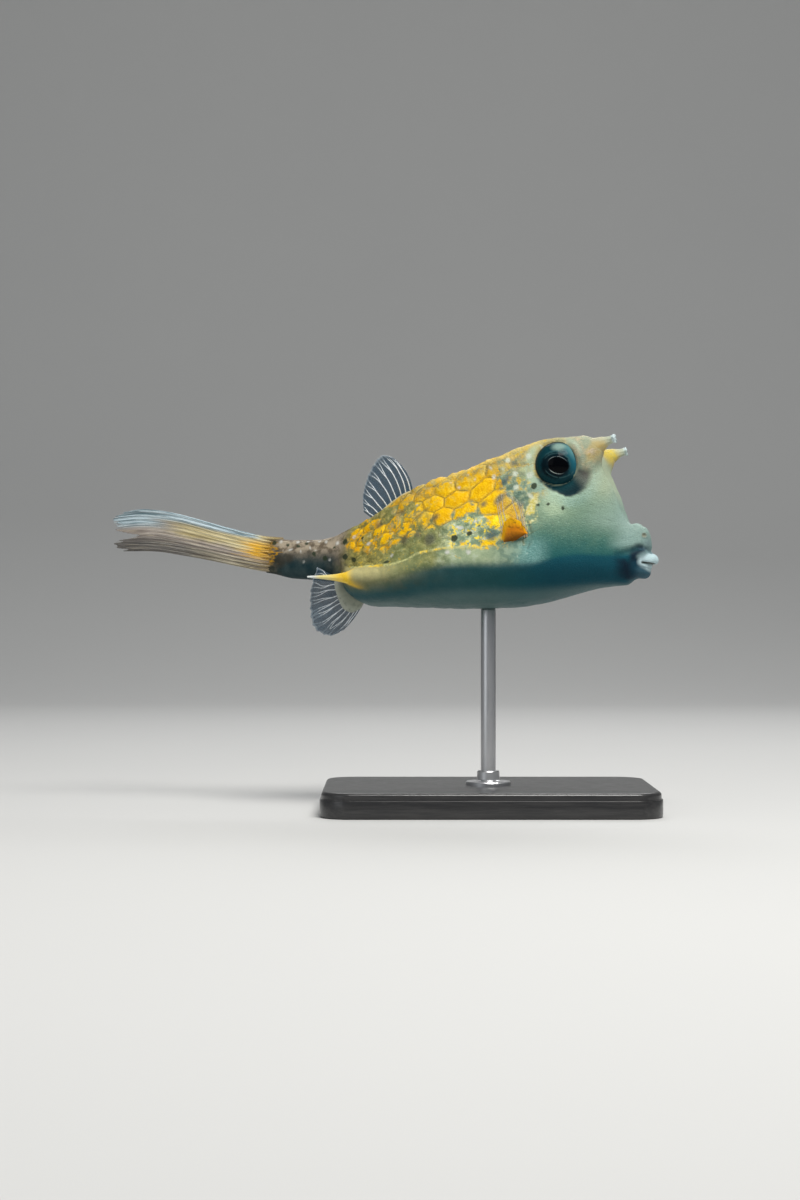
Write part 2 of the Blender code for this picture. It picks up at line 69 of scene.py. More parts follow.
# ---- the shell's stations, as in the solids ------------------------------------
STATIONS = np.array((
    (-1.5, 4.3, 1.5, 3.2, 2.3, 0.0, 2.6, -3.2, 2.2, -6.8, -10.4),
    (9.0, 3.3, 2.2, 1.9, 3.3, -1.5, 3.7, -4.8, 3.2, -8.5, -12.9),
    (18.0, 3.4, 2.7, 1.9, 4.1, -1.5, 4.5, -5.0, 3.9, -9.0, -13.5),
    (25.0, 4.7, 3.2, 3.1, 4.8, -1.5, 5.3, -5.2, 4.6, -9.6, -14.5),
    (29.0, 6.5, 3.8, 5.2, 6.0, -3.0, 6.6, -6.5, 5.6, -11.0, -15.7),
    (32.0, 7.7, 4.8, 6.6, 9.5, -7.6, 11.0, -11.6, 9.5, -16.1, -18.8),
    (37.0, 9.9, 5.8, 8.6, 13.0, -9.5, 15.2, -13.2, 13.5, -18.5, -22.4),
    (43.0, 13.1, 7.0, 11.8, 15.8, -9.8, 17.8, -13.7, 15.8, -19.0, -24.1),
    (50.0, 17.0, 8.2, 15.8, 18.0, -9.5, 19.8, -13.2, 17.6, -18.2, -24.1),
    (57.0, 21.6, 9.4, 20.4, 19.4, -8.4, 21.2, -12.2, 18.8, -17.2, -24.5),
    (66.0, 25.7, 10.6, 24.5, 20.6, -4.6, 22.0, -10.1, 19.8, -15.4, -24.8),
    (78.0, 29.1, 11.8, 28.0, 21.2, -2.6, 22.6, -8.7, 20.4, -13.8, -25.3),
    (90.0, 32.8, 12.8, 32.5, 21.2, -2.4, 22.6, -8.4, 20.4, -13.4, -25.2),
    (103.0, 36.4, 13.4, 37.5, 20.4, -2.1, 21.8, -8.1, 19.6, -13.2, -24.4),
    (112.0, 37.4, 13.8, 40.7, 19.2, -1.8, 20.4, -7.8, 18.4, -12.7, -22.8),
    (121.0, 37.2, 14.2, 41.6, 17.4, -1.5, 18.4, -7.3, 16.6, -11.8, -20.3),
    (128.0, 37.0, 14.4, 41.8, 15.4, -1.4, 16.2, -7.0, 14.6, -11.2, -18.2),
    (132.0, 34.6, 13.9, 39.3, 14.2, -1.4, 14.9, -6.8, 13.4, -11.0, -17.2),
    (135.5, 26.6, 12.4, 30.4, 13.1, -1.5, 13.6, -6.7, 12.2, -10.8, -16.6),
    (139.5, 19.8, 10.4, 21.8, 11.3, -1.5, 11.8, -6.5, 10.6, -10.6, -16.1),
    (144.0, 11.5, 7.8, 11.6, 8.9, -1.6, 9.3, -6.2, 8.4, -10.0, -15.8),
    (147.5, 10.6, 6.2, 9.7, 7.4, -1.7, 7.7, -5.9, 7.0, -9.3, -13.5),
    (150.5, 7.4, 4.6, 6.2, 5.8, -2.0, 6.1, -5.6, 5.6, -8.7, -12.2),
))
MUZZLE_CAP, MUZZLE_MIDDLE = 3.4, -3.4
EYE_CENTRE = np.array((118.4, 12.6, 30.4))
EYE_RADIUS, EYE_DEPTH = 9.1, 7.2
HORN_PATH = ((128.0, 12.4, 34.0), (132.0, 13.6, 36.2), (135.6, 14.5, 38.1), (138.6, 15.2, 39.3), (141.2, 15.7, 40.1))
HORN_RADII = (5.0, 4.3, 2.9, 1.6, 1.5)
SPINE_PATH = ((41.0, 15.4, -13.6), (35.5, 15.6, -13.9), (29.0, 15.2, -13.8), (18.4, 14.2, -13.4))
SPINE_RADII = (3.1, 2.4, 1.2, 0.35)
UPPER_LIP = ((150.0, 4.6, -6.8), (152.8, 3.1, -6.2), (154.0, 0.0, -5.8), (152.8, -3.1, -6.2), (150.0, -4.6, -6.8))
UPPER_LIP_RADII = (1.3, 2.2, 2.6, 2.2, 1.3)
LOWER_LIP = ((148.2, 4.2, -9.9), (150.3, 2.7, -10.4), (151.2, 0.0, -10.6), (150.3, -2.7, -10.4), (148.2, -4.2, -9.9))
LOWER_LIP_RADII = (1.4, 2.1, 2.3, 2.1, 1.4)


# ---- curves and fields -----------------------------------------------------------
def smooth_table(xs, ys, x):
    """Monotone cubic through the stations: no overshoot between them."""
    xs, ys, x = (np.asarray(v, float) for v in (xs, ys, x))
    step = np.diff(xs)
    slope = np.diff(ys) / step
    tangent = np.zeros_like(ys)
    for i in range(1, len(xs) - 1):
        if slope[i - 1] * slope[i] > 0:
            a, b = 2 * step[i] + step[i - 1], step[i] + 2 * step[i - 1]
            tangent[i] = (a + b) / (a / slope[i - 1] + b / slope[i])
    tangent[0], tangent[-1] = slope[0], slope[-1]
    i = np.clip(np.searchsorted(xs, x, side="right") - 1, 0, len(xs) - 2)
    t = (x - xs[i]) / step[i]
    return (
        (2 * t**3 - 3 * t**2 + 1) * ys[i]
        + (t**3 - 2 * t**2 + t) * step[i] * tangent[i]
        + (3 * t**2 - 2 * t**3) * ys[i + 1]
        + (t**3 - t**2) * step[i] * tangent[i + 1]
    )


def controls_at(x):
    """Control polygon of the shell's cross-section at each x, round the whole loop."""
    crown, rw, rz, cw, cz, kw, kz, lw, lz, belly = (smooth_table(STATIONS[:, 0], STATIONS[:, k], x) for k in range(1, 11))
    at = lambda w, z: np.stack([w, z], -1)
    mix = lambda p, q, t: p + (q - p) * t
    top, ridge, crease, keel = at(0 * crown, crown), at(rw, rz), at(cw, cz), at(kw, kz)
    edge, bottom = at(lw, lz), at(0 * belly, belly)
    half = [
        top,
        mix(top, ridge, 0.5),
        mix(ridge, top, 0.16),
        ridge,
        mix(ridge, crease, 0.07),
        mix(ridge, crease, 0.5) + at(0.02 * kw, 0 * kw),
        mix(crease, ridge, 0.12),
        crease,
        keel,
        edge,
        at(lw * 0.62, belly + (lz - belly) * 0.16),
        bottom,
    ]
    return np.stack(half + [p * np.array([-1.0, 1.0]) for p in half[-2:0:-1]], 1)


def spline_loop(controls, u):
    """Closed cubic B-spline through the control polygons."""
    count = controls.shape[1]
    i = np.floor(u).astype(int)
    t = (u - i)[None, :, None]
    near = lambda k: controls[:, (i + k) % count]
    return (
        (1 - t) ** 3 * near(-1) + (3 * t**3 - 6 * t**2 + 4) * near(0) + (-3 * t**3 + 3 * t**2 + 3 * t + 1) * near(1) + t**3 * near(2)
    ) / 6


def curve_points(path, t):
    """Catmull-Rom points along a short list of points, t from 0 to 1."""
    p = np.array(path, float)
    if p.ndim == 1:
        p = p[:, None]
    p = np.concatenate([[2 * p[0] - p[1]], p, [2 * p[-1] - p[-2]]])
    s = np.clip(np.atleast_1d(t), 0, 1) * (len(p) - 3)
    i = np.minimum(s.astype(int), len(p) - 4)
    f = (s - i)[:, None]
    a, b, c, d = p[i], p[i + 1], p[i + 2], p[i + 3]
    return 0.5 * (2 * b + (c - a) * f + (2 * a - 5 * b + 4 * c - d) * f**2 + (3 * b - a - 3 * c + d) * f**3)


def ease(lo, hi, v):
    t = np.clip((v - lo) / (hi - lo), 0, 1)
    return t * t * (3 - 2 * t)


def hill(d, width):
    return np.exp(-((d / width) ** 2))


def mirrored(path):
    return tuple((p[0], -p[1], p[2]) for p in path)


def curve_distance(points, path, radii=(0.0, 0.0), samples=28):
    """Distance from each point to a tapered tube along a curve."""
    t = np.linspace(0, 1, samples)
    c, r = curve_points(path, t), curve_points(radii, t)[:, 0]
    best = np.full(len(points), 1e9)
    for a, b, ra, rb in zip(c[:-1], c[1:], r[:-1], r[1:]):
        ab = b - a
        s = np.clip((points - a) @ ab / (ab @ ab), 0, 1)
        d = np.linalg.norm(points - a - s[:, None] * ab, axis=1) - (ra + s * (rb - ra))
        best = np.minimum(best, d)
    return best


def smooth_min(a, b, k):
    h = np.maximum(k - np.abs(a - b), 0) / k
    return np.minimum(a, b) - h * h * k / 4


def value_noise(points, scale, seed):
    """Smooth noise from -1 to 1 at points, from a seeded lattice."""
    table = np.random.default_rng(seed).uniform(-1, 1, 4096)
    p = np.asarray(points, float) * scale + 1000.0
    i = np.floor(p).astype(np.int64)
    f = p - i
    f = f * f * (3 - 2 * f)
    out = np.zeros(len(p))
    for corner in range(8):
        o = np.array([(corner >> k) & 1 for k in range(3)])
        q = i + o
        h = (q[:, 0] * 73856093) ^ (q[:, 1] * 19349663) ^ (q[:, 2] * 83492791)
        w = np.prod(np.where(o, f, 1 - f), axis=1)
        out += w * table[h & 4095]
    return out


def grid_normals(P, closed):
    """Unit normals of a grid of points; its second axis runs round a loop if closed."""
    along = np.gradient(P, axis=0)
    if closed:
        round_ = (np.roll(P, -1, 1) - np.roll(P, 1, 1)) / 2
    else:
        round_ = np.gradient(P, axis=1)
    n = np.cross(round_, along)
    return n / np.maximum(np.linalg.norm(n, axis=2, keepdims=True), 1e-9)


# ---- meshes -------------------------------------------------------------------------
def make_piece(name, points, faces, mat, fields=None, uv=None, replaces=(), smooth=True, world=False):
    """A mesh from fish-frame points, with its named vector fields kept on the vertices."""
    points = np.asarray(points, float)
    mesh = bpy.data.meshes.new(name)
    placed = points * MM if world else to_world(points)
    sizes = np.array([len(f) for f in faces])
    loops = np.concatenate([np.asarray(f) for f in faces]).astype(np.int32)
    mesh.vertices.add(len(placed))
    mesh.vertices.foreach_set("co", placed.astype(np.float32).ravel())
    mesh.loops.add(len(loops))
    mesh.loops.foreach_set("vertex_index", loops)
    mesh.polygons.add(len(sizes))
    mesh.polygons.foreach_set("loop_start", np.concatenate([[0], np.cumsum(sizes)[:-1]]).astype(np.int32))
    mesh.update(calc_edges=True)
    mesh.validate()
    fields = dict(fields or {})
    fields.setdefault("fish", points)
    for key, values in fields.items():
        values = np.asarray(values, float)
        layer = mesh.attributes.new(key, "FLOAT_VECTOR", "POINT")
        layer.data.foreach_set("vector", values.astype(np.float32).ravel())
    if uv is not None:
        layer = mesh.uv_layers.new(name="OFBake")
        layer.data.foreach_set("uv", np.asarray(uv, np.float32)[loops].ravel() if len(uv) == len(points) else np.asarray(uv, np.float32).ravel())
    mesh.shade_smooth() if smooth else mesh.shade_flat()
    obj = bpy.data.objects.new(name, mesh)
    scene.collection.objects.link(obj)
    mesh.materials.append(mat)
    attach(obj, "root")
    if replaces:
        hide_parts(*replaces)
    return obj


def loop_faces(rows, around, start=0, cap_first=None, cap_last=None, flip=False):
    """Quads of a grid closed round its second axis, with a fan to a pole at either end."""
    i, j = np.meshgrid(np.arange(rows - 1), np.arange(around), indexing="ij")
    k = (j + 1) % around
    at = lambda r, c: start + r * around + c
    quads = np.stack([at(i, j), at(i, k), at(i + 1, k), at(i + 1, j)], -1).reshape(-1, 4)
    faces = [q[::-1] if flip else q for q in quads]
    ring = np.arange(around)
    nxt = (ring + 1) % around
    if cap_first is not None:
        fan = np.stack([np.full(around, cap_first), start + nxt, start + ring], -1)
        faces += [f[::-1] if flip else f for f in fan]
    if cap_last is not None:
        last = start + (rows - 1) * around
        fan = np.stack([np.full(around, cap_last), last + ring, last + nxt], -1)
        faces += [f[::-1] if flip else f for f in fan]
    return faces


def tube_grid(path, radii, steps, around, shape=None, t0=0.0, t1=1.0):
    """(points of the rings, t of each ring, angle of each point) of a tapered tube."""
    t = np.linspace(t0, t1, steps)
    c = curve_points(path, t)
    tangent = curve_points(path, np.minimum(1, t + 0.01)) - curve_points(path, np.maximum(0, t - 0.01))
    tangent /= np.linalg.norm(tangent, axis=1, keepdims=True)
    across = np.cross(tangent, (0.0, 0.0, 1.0))
    across /= np.linalg.norm(across, axis=1, keepdims=True)
    up = np.cross(across, tangent)
    r = curve_points(radii, t)[:, 0]
    a = np.linspace(0, 2 * math.pi, around, endpoint=False)
    R = r[:, None] * np.ones((steps, around))
    if shape is not None:
        R = R * shape(t[:, None] * np.ones((1, around)), a[None] * np.ones((steps, 1)))
    P = c[:, None] + R[..., None] * (across[:, None] * np.cos(a)[None, :, None] + up[:, None] * np.sin(a)[None, :, None])
    return P, t, a


# ---- material kit: node arithmetic written as plain expressions --------------------------
class Wire:
    """An output of a material's nodes, or a plain number, that can be worked with."""

    def __init__(self, kit, socket):
        self.kit, self.socket = kit, socket

    def math(self, op, *others, clamp=False):
        node = self.kit.nodes.new("ShaderNodeMath")
        node.operation, node.use_clamp = op, clamp
        for slot, value in zip(node.inputs, (self, *others)):
            self.kit.put(slot, value)
        return Wire(self.kit, node.outputs[0])

    def __add__(self, o):
        return self.math("ADD", o)

    __radd__ = __add__

    def __sub__(self, o):
        return self.math("SUBTRACT", o)

    def __rsub__(self, o):
        return self.kit.number(o).math("SUBTRACT", self)

    def __mul__(self, o):
        return self.math("MULTIPLY", o)

    __rmul__ = __mul__

    def __truediv__(self, o):
        return self.math("DIVIDE", o)

    def __neg__(self):
        return self.math("MULTIPLY", -1.0)

    def abs(self):
        return self.math("ABSOLUTE")

    def clamp(self):
        return self.math("ADD", 0.0, clamp=True)

    def low(self, o):
        return self.math("MINIMUM", o)

    def high(self, o):
        return self.math("MAXIMUM", o)

    def mod(self, o):
        return self.math("FLOORED_MODULO", o)

    def sin(self):
        return self.math("SINE")

    def power(self, o):
        return self.math("POWER", o)

    def below(self, o):
        return self.math("LESS_THAN", o)

    def ease(self, lo, hi):
        node = self.kit.nodes.new("ShaderNodeMapRange")
        node.interpolation_type = "SMOOTHSTEP"
        self.kit.put(node.inputs["Value"], self)
        for key, value in (("From Min", lo), ("From Max", hi)):
            self.kit.put(node.inputs[key], value)
        return Wire(self.kit, node.outputs[0])


class Kit:
    """Builds one Principled material."""

    def __init__(self, name):
        self.material = bpy.data.materials.new(name)
        self.material.use_nodes = True
        self.tree = self.material.node_tree
        self.nodes = self.tree.nodes
        self.shader = self.nodes["Principled BSDF"]

    def put(self, slot, value):
        if isinstance(value, Wire):
            self.tree.links.new(value.socket, slot)
        elif slot.type == "RGBA":
            slot.default_value = (*value, 1.0)
        elif slot.type == "VECTOR" and not isinstance(value, (int, float)):
            slot.default_value = tuple(value)
        else:
            slot.default_value = value

    def number(self, value):
        node = self.nodes.new("ShaderNodeValue")
        node.outputs[0].default_value = value
        return Wire(self, node.outputs[0])

    def field(self, name):
        node = self.nodes.new("ShaderNodeAttribute")
        node.attribute_type, node.attribute_name = "GEOMETRY", name
        return Wire(self, node.outputs["Vector"])

    def split(self, vector):
        node = self.nodes.new("ShaderNodeSeparateXYZ")
        self.put(node.inputs[0], vector)
        return tuple(Wire(self, o) for o in node.outputs)

    def join(self, x, y, z):
        node = self.nodes.new("ShaderNodeCombineXYZ")
        for slot, value in zip(node.inputs, (x, y, z)):
            self.put(slot, value)
        return Wire(self, node.outputs[0])

    def stretch(self, vector, by):
        node = self.nodes.new("ShaderNodeVectorMath")
        node.operation = "MULTIPLY"
        self.put(node.inputs[0], vector)
        node.inputs[1].default_value = by
        return Wire(self, node.outputs[0])

    def noise(self, vector, scale, detail=3.0, rough=0.55, distortion=0.0):
        node = self.nodes.new("ShaderNodeTexNoise")
        self.put(node.inputs["Vector"], vector)
        for key, value in (("Scale", scale), ("Detail", detail), ("Roughness", rough), ("Distortion", distortion)):
            node.inputs[key].default_value = value
        return Wire(self, node.outputs[0])

    def cells(self, vector, scale, feature="F1", spread=1.0):
        node = self.nodes.new("ShaderNodeTexVoronoi")
        node.feature = feature
        self.put(node.inputs["Vector"], vector)
        node.inputs["Scale"].default_value = scale
        node.inputs["Randomness"].default_value = spread
        return Wire(self, node.outputs["Distance"])

    def white(self, vector):
        node = self.nodes.new("ShaderNodeTexWhiteNoise")
        self.put(node.inputs["Vector"], vector)
        return Wire(self, node.outputs["Value"])

    def mix(self, share, a, b):
        node = self.nodes.new("ShaderNodeMix")
        node.data_type = "RGBA"
        self.put(node.inputs["Factor"], share)
        rgba = [s for s in node.inputs if s.type == "RGBA"]
        self.put(rgba[0], a)
        self.put(rgba[1], b)
        return Wire(self, [s for s in node.outputs if s.type == "RGBA"][0])

    def times(self, colour, share):
        """The colour made darker or lighter by a number."""
        node = self.nodes.new("ShaderNodeVectorMath")
        node.operation = "SCALE"
        self.put(node.inputs[0], colour)
        self.put(node.inputs["Scale"], share)
        return Wire(self, node.outputs[0])

    def bump(self, height, strength, distance, base=None):
        node = self.nodes.new("ShaderNodeBump")
        node.inputs["Strength"].default_value = strength
        node.inputs["Distance"].default_value = distance
        self.put(node.inputs["Height"], height)
        if base is not None:
            self.put(node.inputs["Normal"], base)
        return Wire(self, node.outputs[0])

    def finish(self, colour=None, roughness=None, normal=None, alpha=None, **plain):
        for key, value in (("Base Color", colour), ("Roughness", roughness), ("Normal", normal), ("Alpha", alpha)):
            if value is not None:
                self.put(self.shader.inputs[key], value)
        for key, value in plain.items():
            self.shader.inputs[key.replace("_", " ")].default_value = value
        return self.material


# ---- one skin for head, trunk, tail root and lips ------------------------------------------
HALF = 141  # samples from the crown to the middle of the belly
AROUND = 2 * (HALF - 1)
CAP_RINGS = 30


def half_ring():
    """Parameters round half a ring, evenly spaced where the shell is widest."""
    u = np.linspace(0, 11, 2201)
    loop = spline_loop(controls_at(np.array([100.0])), u)[0]
    gone = np.concatenate([[0], np.cumsum(np.linalg.norm(np.diff(loop, axis=0), axis=1))])
    return np.interp(np.linspace(0, gone[-1], HALF), gone, u)


def ring_places():
    """Where the rings stand: closer on the head, and where the face falls steeply."""
    x = np.linspace(STATIONS[0, 0], STATIONS[-1, 0], 4001)
    slope = np.maximum(
        np.abs(np.gradient(smooth_table(STATIONS[:, 0], STATIONS[:, 1], x), x)),
        np.abs(np.gradient(smooth_table(STATIONS[:, 0], STATIONS[:, 10], x), x)),
    )
    step = np.interp(x, (-1.5, 28, 36, 104, 118, 140, 150.5), (0.85, 0.72, 0.62, 0.6, 0.47, 0.44, 0.36))
    gone = np.concatenate([[0], np.cumsum(np.sqrt(1 + slope[:-1] ** 2) / step[:-1] * np.diff(x))])
    return np.interp(np.linspace(0, gone[-1], int(gone[-1]) + 1), gone, x)


half_u = half_ring()
ring_u = np.concatenate([half_u, 22 - half_u[-2:0:-1]])
ring_x = ring_places()
loops = spline_loop(controls_at(ring_x), ring_u)
body = np.concatenate([np.broadcast_to(ring_x[:, None, None], (*loops.shape[:2], 1)), loops], 2)
cap = []
for turn in np.linspace(0, 1, CAP_RINGS + 1)[1:-1]:
    a = turn * math.pi / 2
    ring = body[-1].copy()
    ring[:, 0] += MUZZLE_CAP * math.sin(a)
    ring[:, 1] *= math.cos(a)
    ring[:, 2] = MUZZLE_MIDDLE + (ring[:, 2] - MUZZLE_MIDDLE) * math.cos(a)
    cap.append(ring)
P = np.concatenate([body, np.array(cap)])
RINGS = len(P)

# Arc length down each ring from the crown, and from the ridges, creases and keels.
fold = np.minimum(np.arange(AROUND), AROUND - np.arange(AROUND))
half_arc = np.concatenate([
    np.zeros((RINGS, 1)),
    np.cumsum(np.linalg.norm(np.diff(P[:, :HALF], axis=1), axis=2), axis=1),
], 1)
arc = half_arc[:, fold]
line_at = lambda u: np.array([np.interp(u, half_u, row) for row in half_arc])[:, None]
from_ridge, from_crease = arc - line_at(2.9), arc - line_at(7.0)
from_keel, from_edge = arc - line_at(8.0), arc - line_at(9.0)
X, Y, Z = P[..., 0], P[..., 1], P[..., 2]
N = grid_normals(P, closed=True)
if (N[RINGS // 2, :, 2][: HALF // 4]).mean() < 0:
    N = -N


def swell(P, N, tubes, blend, reach, rings):
    """Moves the skin outwards to where it wraps these tubes in one smooth surface."""
    part = P[rings].reshape(-1, 3)
    normal = N[rings].reshape(-1, 3)
    near = np.zeros(len(part), bool)
    for path, radii in tubes:
        near |= curve_distance(part, path, radii, 10) < reach
    p, n = part[near], normal[near]
    steps = np.linspace(0, reach, 41)
    level = []
    for s in steps:
        d = np.full(len(p), s)
        for path, radii in tubes:
            d = smooth_min(d, curve_distance(p + n * s, path, radii, 14), blend)
        level.append(d)
    level = np.array(level)
    inside = level <= 0
    last = len(steps) - 1 - np.argmax(inside[::-1], axis=0)
    last = np.minimum(last, len(steps) - 2)
    k = np.arange(len(p))
    a, b = level[last, k], level[last + 1, k]
    s = steps[last] + (steps[1] - steps[0]) * np.clip(a / (a - b - 1e-12), 0, 1)
    s = np.where(inside.any(0), s, 0)
    part = part.copy()
    part[near] = p + n * s[:, None]
    out = P.copy()
    out[rings] = part.reshape(P[rings].shape)
    return out


def settle(P, rings, times, weight):
    """Evens out stretched quads on these rings, without losing the form."""
    Q = P[rings]
    for _ in range(times):
        mean = (np.roll(Q, 1, 1) + np.roll(Q, -1, 1)) / 2
        mean[1:-1] = (mean[1:-1] + (Q[2:] + Q[:-2]) / 2) / 2
        Q = Q + (mean - Q) * weight[rings][..., None]
    out = P.copy()
    out[rings] = Q
    return out


ring_mean_x = X[:, 0]
horn_rings = slice(int(np.searchsorted(ring_x, 112)), int(np.searchsorted(ring_x, 146)))
mouth_rings = slice(int(np.searchsorted(ring_x, 142)), RINGS)
spine_rings = slice(int(np.searchsorted(ring_x, 30)), int(np.searchsorted(ring_x, 52)))

# The face drops to a small level shelf behind the snout's rounded end.
P[..., 2] -= 2.7 * hill(P[..., 0] - 146.1, 2.5) * ease(2.0, 7.5, P[..., 2])
# The tail root thins out where the fin's rays leave it.
P[..., 1] *= 1 - 0.22 * ease(3.0, -1.5, P[..., 0])
P[:8, :, 0] -= (np.arange(8)[::-1, None] / 7.0) * (0.9 + 0.8 * np.sin(P[:8, :, 2] * 2.4 + 0.6))
# Horn buttresses: a tall root that the skin climbs, and a brow that joins it to the orbit.
HORN_ROOT = ((119.0, 10.4, 34.2), (124.0, 11.4, 34.7), (128.0, 12.4, 35.0), (131.2, 13.3, 36.2), (134.4, 14.2, 37.7))
HORN_ROOT_RADII = (3.2, 4.5, 5.2, 4.5, 2.6)
HORN_WEB = ((126.4, 12.6, 26.4), (129.0, 13.2, 29.6), (131.4, 13.7, 32.8), (133.8, 14.2, 35.6))
HORN_WEB_RADII = (2.2, 2.6, 2.7, 2.2)
buttress = [(HORN_ROOT, HORN_ROOT_RADII), (HORN_WEB, HORN_WEB_RADII)]
P = swell(P, N, buttress + [(mirrored(q), r) for q, r in buttress], 3.6, 7.5, horn_rings)
near_horn = np.minimum(
    curve_distance(P.reshape(-1, 3), HORN_ROOT, HORN_ROOT_RADII), curve_distance(P.reshape(-1, 3), mirrored(HORN_ROOT), HORN_ROOT_RADII)
).reshape(P.shape[:2])
P = settle(P, horn_rings, 6, 0.5 * ease(3.5, 0.8, near_horn))

# Lips: two soft rolls round the mouth.
lips = [(UPPER_LIP, UPPER_LIP_RADII), (LOWER_LIP, LOWER_LIP_RADII)]
P = swell(P, N, lips, 1.7, 4.2, mouth_rings)
near_lips = np.minimum(*(curve_distance(P.reshape(-1, 3), p, r) for p, r in lips)).reshape(P.shape[:2])
P = settle(P, slice(mouth_rings.start, RINGS - 1), 5, 0.45 * ease(2.0, 0.4, near_lips))

# Roots of the keel spines.
SPINE_ROOT = ((46.0, 15.6, -13.2), (41.0, 15.6, -13.5), (36.5, 15.7, -13.8), (33.2, 15.6, -13.9), (30.6, 15.4, -13.9))
SPINE_ROOT_RADII = (3.0, 3.0, 2.7, 2.1, 1.0)
P = swell(P, N, [(SPINE_ROOT, SPINE_ROOT_RADII), (mirrored(SPINE_ROOT), SPINE_ROOT_RADII)], 2.6, 4.5, spine_rings)
near_spine = np.minimum(
    curve_distance(P.reshape(-1, 3), SPINE_ROOT, SPINE_ROOT_RADII), curve_distance(P.reshape(-1, 3), mirrored(SPINE_ROOT), SPINE_ROOT_RADII)
).reshape(P.shape[:2])
P = settle(P, spine_rings, 4, 0.45 * ease(2.5, 0.6, near_spine))

N = grid_normals(P, closed=True)
if (N[RINGS // 2, :, 2][: HALF // 4]).mean() < 0:
    N = -N
flat = P.reshape(-1, 3)
mirror = flat * np.array([1.0, 1.0, 1.0])
mirror[:, 1] = np.abs(mirror[:, 1])
shape2 = P.shape[:2]
x, ay, z = mirror.T
side = np.where(flat[:, 1] < 0, -1.0, 1.0)

# Orbit, in polar coordinates about the eye's axis.
eye_dx, eye_dz = x - EYE_CENTRE[0], z - EYE_CENTRE[2]
eye_r = np.hypot(eye_dx, eye_dz)
eye_angle = np.degrees(np.arctan2(eye_dz, eye_dx))  # 0 forwards, 90 up
on_flank = ease(8.5, 11.0, ay) * ease(60, 100, x)
eye_r = np.where(on_flank > 0.05, eye_r, 60.0)
rim_r = np.interp(eye_angle, (-180, -150, -120, -90, -67, -46, -30, -15, 0, 40, 90, 140, 180), (8.9, 9.0, 9.3, 11.0, 14.2, 14.9, 15.0, 13.6, 11.8, 10.4, 9.6, 9.2, 8.9))

# Plates: a lattice that shrinks towards the tail and runs parallel to the back.
PLATE_X = (-5.0, 30.0, 42.0, 55.0, 68.0, 78.5, 83.5, 89.0, 95.0, 101.0, 160.0)
PLATE_LONG = (5.0, 5.4, 6.6, 7.6, 8.4, 9.2, 11.2, 12.8, 12.4, 11.6, 11.6)
PLATE_TALL = (5.0, 5.8, 7.4, 8.9, 10.0, 10.8, 11.1, 11.3, 11.5, 11.6, 11.6)
fine_x = np.linspace(-6, 162, 3361)
plate_run = np.concatenate([[0], np.cumsum(np.diff(fine_x) / np.interp(fine_x, PLATE_X, PLATE_LONG)[:-1])])
run = np.interp(x, fine_x, plate_run)
size_here = np.interp(x, PLATE_X, PLATE_TALL)
rows_down = arc.reshape(-1) / (size_here * 0.735)
BIG_PLATE = (89.0, 20.8)  # the middle of the largest plate, on the flank
at_ring = int(np.searchsorted(ring_x, BIG_PLATE[0]))
at_down = np.interp(-BIG_PLATE[1], -P[at_ring, 20:90, 2], arc[at_ring, 20:90]) / (np.interp(BIG_PLATE[0], PLATE_X, PLATE_TALL) * 0.735)
run = run - np.interp(BIG_PLATE[0], fine_x, plate_run)
rows_down = rows_down - at_down
warp_a = 0.07 * np.sin(2.1 * rows_down + 1.3 * run) + 0.05 * np.sin(3.7 * run + 1.1 * rows_down)
warp_b = 0.07 * np.sin(1.9 * run - 1.7 * rows_down) + 0.05 * np.sin(4.1 * rows_down + 0.9 * run)
lattice_a, lattice_b = run + warp_a, rows_down + warp_b
ROOT3 = math.sqrt(3.0)


def plate_edges(a, b):
    """How far inside its plate a point is: 0 at the edge and 0.5 at the middle."""
    gx1, gy1 = (a + 0.5) % 1.0 - 0.5, (b + ROOT3 / 2) % ROOT3 - ROOT3 / 2
    gx2, gy2 = a % 1.0 - 0.5, b % ROOT3 - ROOT3 / 2
    first = gx1**2 + gy1**2 < gx2**2 + gy2**2
    gx, gy = np.abs(np.where(first, gx1, gx2)), np.abs(np.where(first, gy1, gy2))
    return 0.5 - np.maximum(gx, 0.5 * gx + ROOT3 / 2 * gy)


inside_plate = plate_edges(lattice_a, lattice_b)
# Plates stand out on the back and flanks, faintly on the belly, and not on face or tail root.
plate_show = ease(30, 38, x) * ease(116, 102, x) * (1 - 0.72 * ease(-2.5, 2.5, from_crease.reshape(-1)))
plate_show += 0.22 * ease(98, 116, x) * ease(132, 118, x) * ease(4, -4, from_crease.reshape(-1))

height = np.zeros(len(flat))
groove = hill(inside_plate, 0.05)
height += plate_show * (0.42 * ease(0.0, 0.34, inside_plate) - 0.30 * groove - 0.14)
height += 0.13 * plate_show * value_noise(flat, 0.55, 3) + 0.09 * plate_show * value_noise(flat, 1.1, 9) + 0.05 * value_noise(flat, 0.3, 4)
# Orbit: the skin dips round the eyeball, pools below it in front, and swells into a pad before it.
height -= 1.6 * ease(8.0, 7.0, eye_r)
height -= 0.28 * hill(eye_r - 8.6, 0.7)
shelf = np.interp(eye_angle, (-180, -66, -38, 0, 180), (1.0, 1.0, 2.3, 2.6, 1.0))
crescent = ease(1.2, -1.6, (eye_r - rim_r + 0.5 * value_noise(flat, 0.9, 14)) / shelf) * ease(8.2, 9.0, eye_r) * ease(-172, -150, eye_angle) * ease(-6, -22, eye_angle)
height -= 0.85 * crescent
height += 0.13 * hill(eye_r - rim_r - 0.9, 1.4) * ease(60, 30, eye_r) * ease(20, -20, eye_angle)
pad = hill(np.hypot((x - 129.6) / 2.6, (z - 30.6) / 5.6), 1.0) * on_flank
height += 0.80 * pad
height += 0.35 * hill(eye_r - 9.9, 0.9) * ease(60, 100, eye_angle) * on_flank
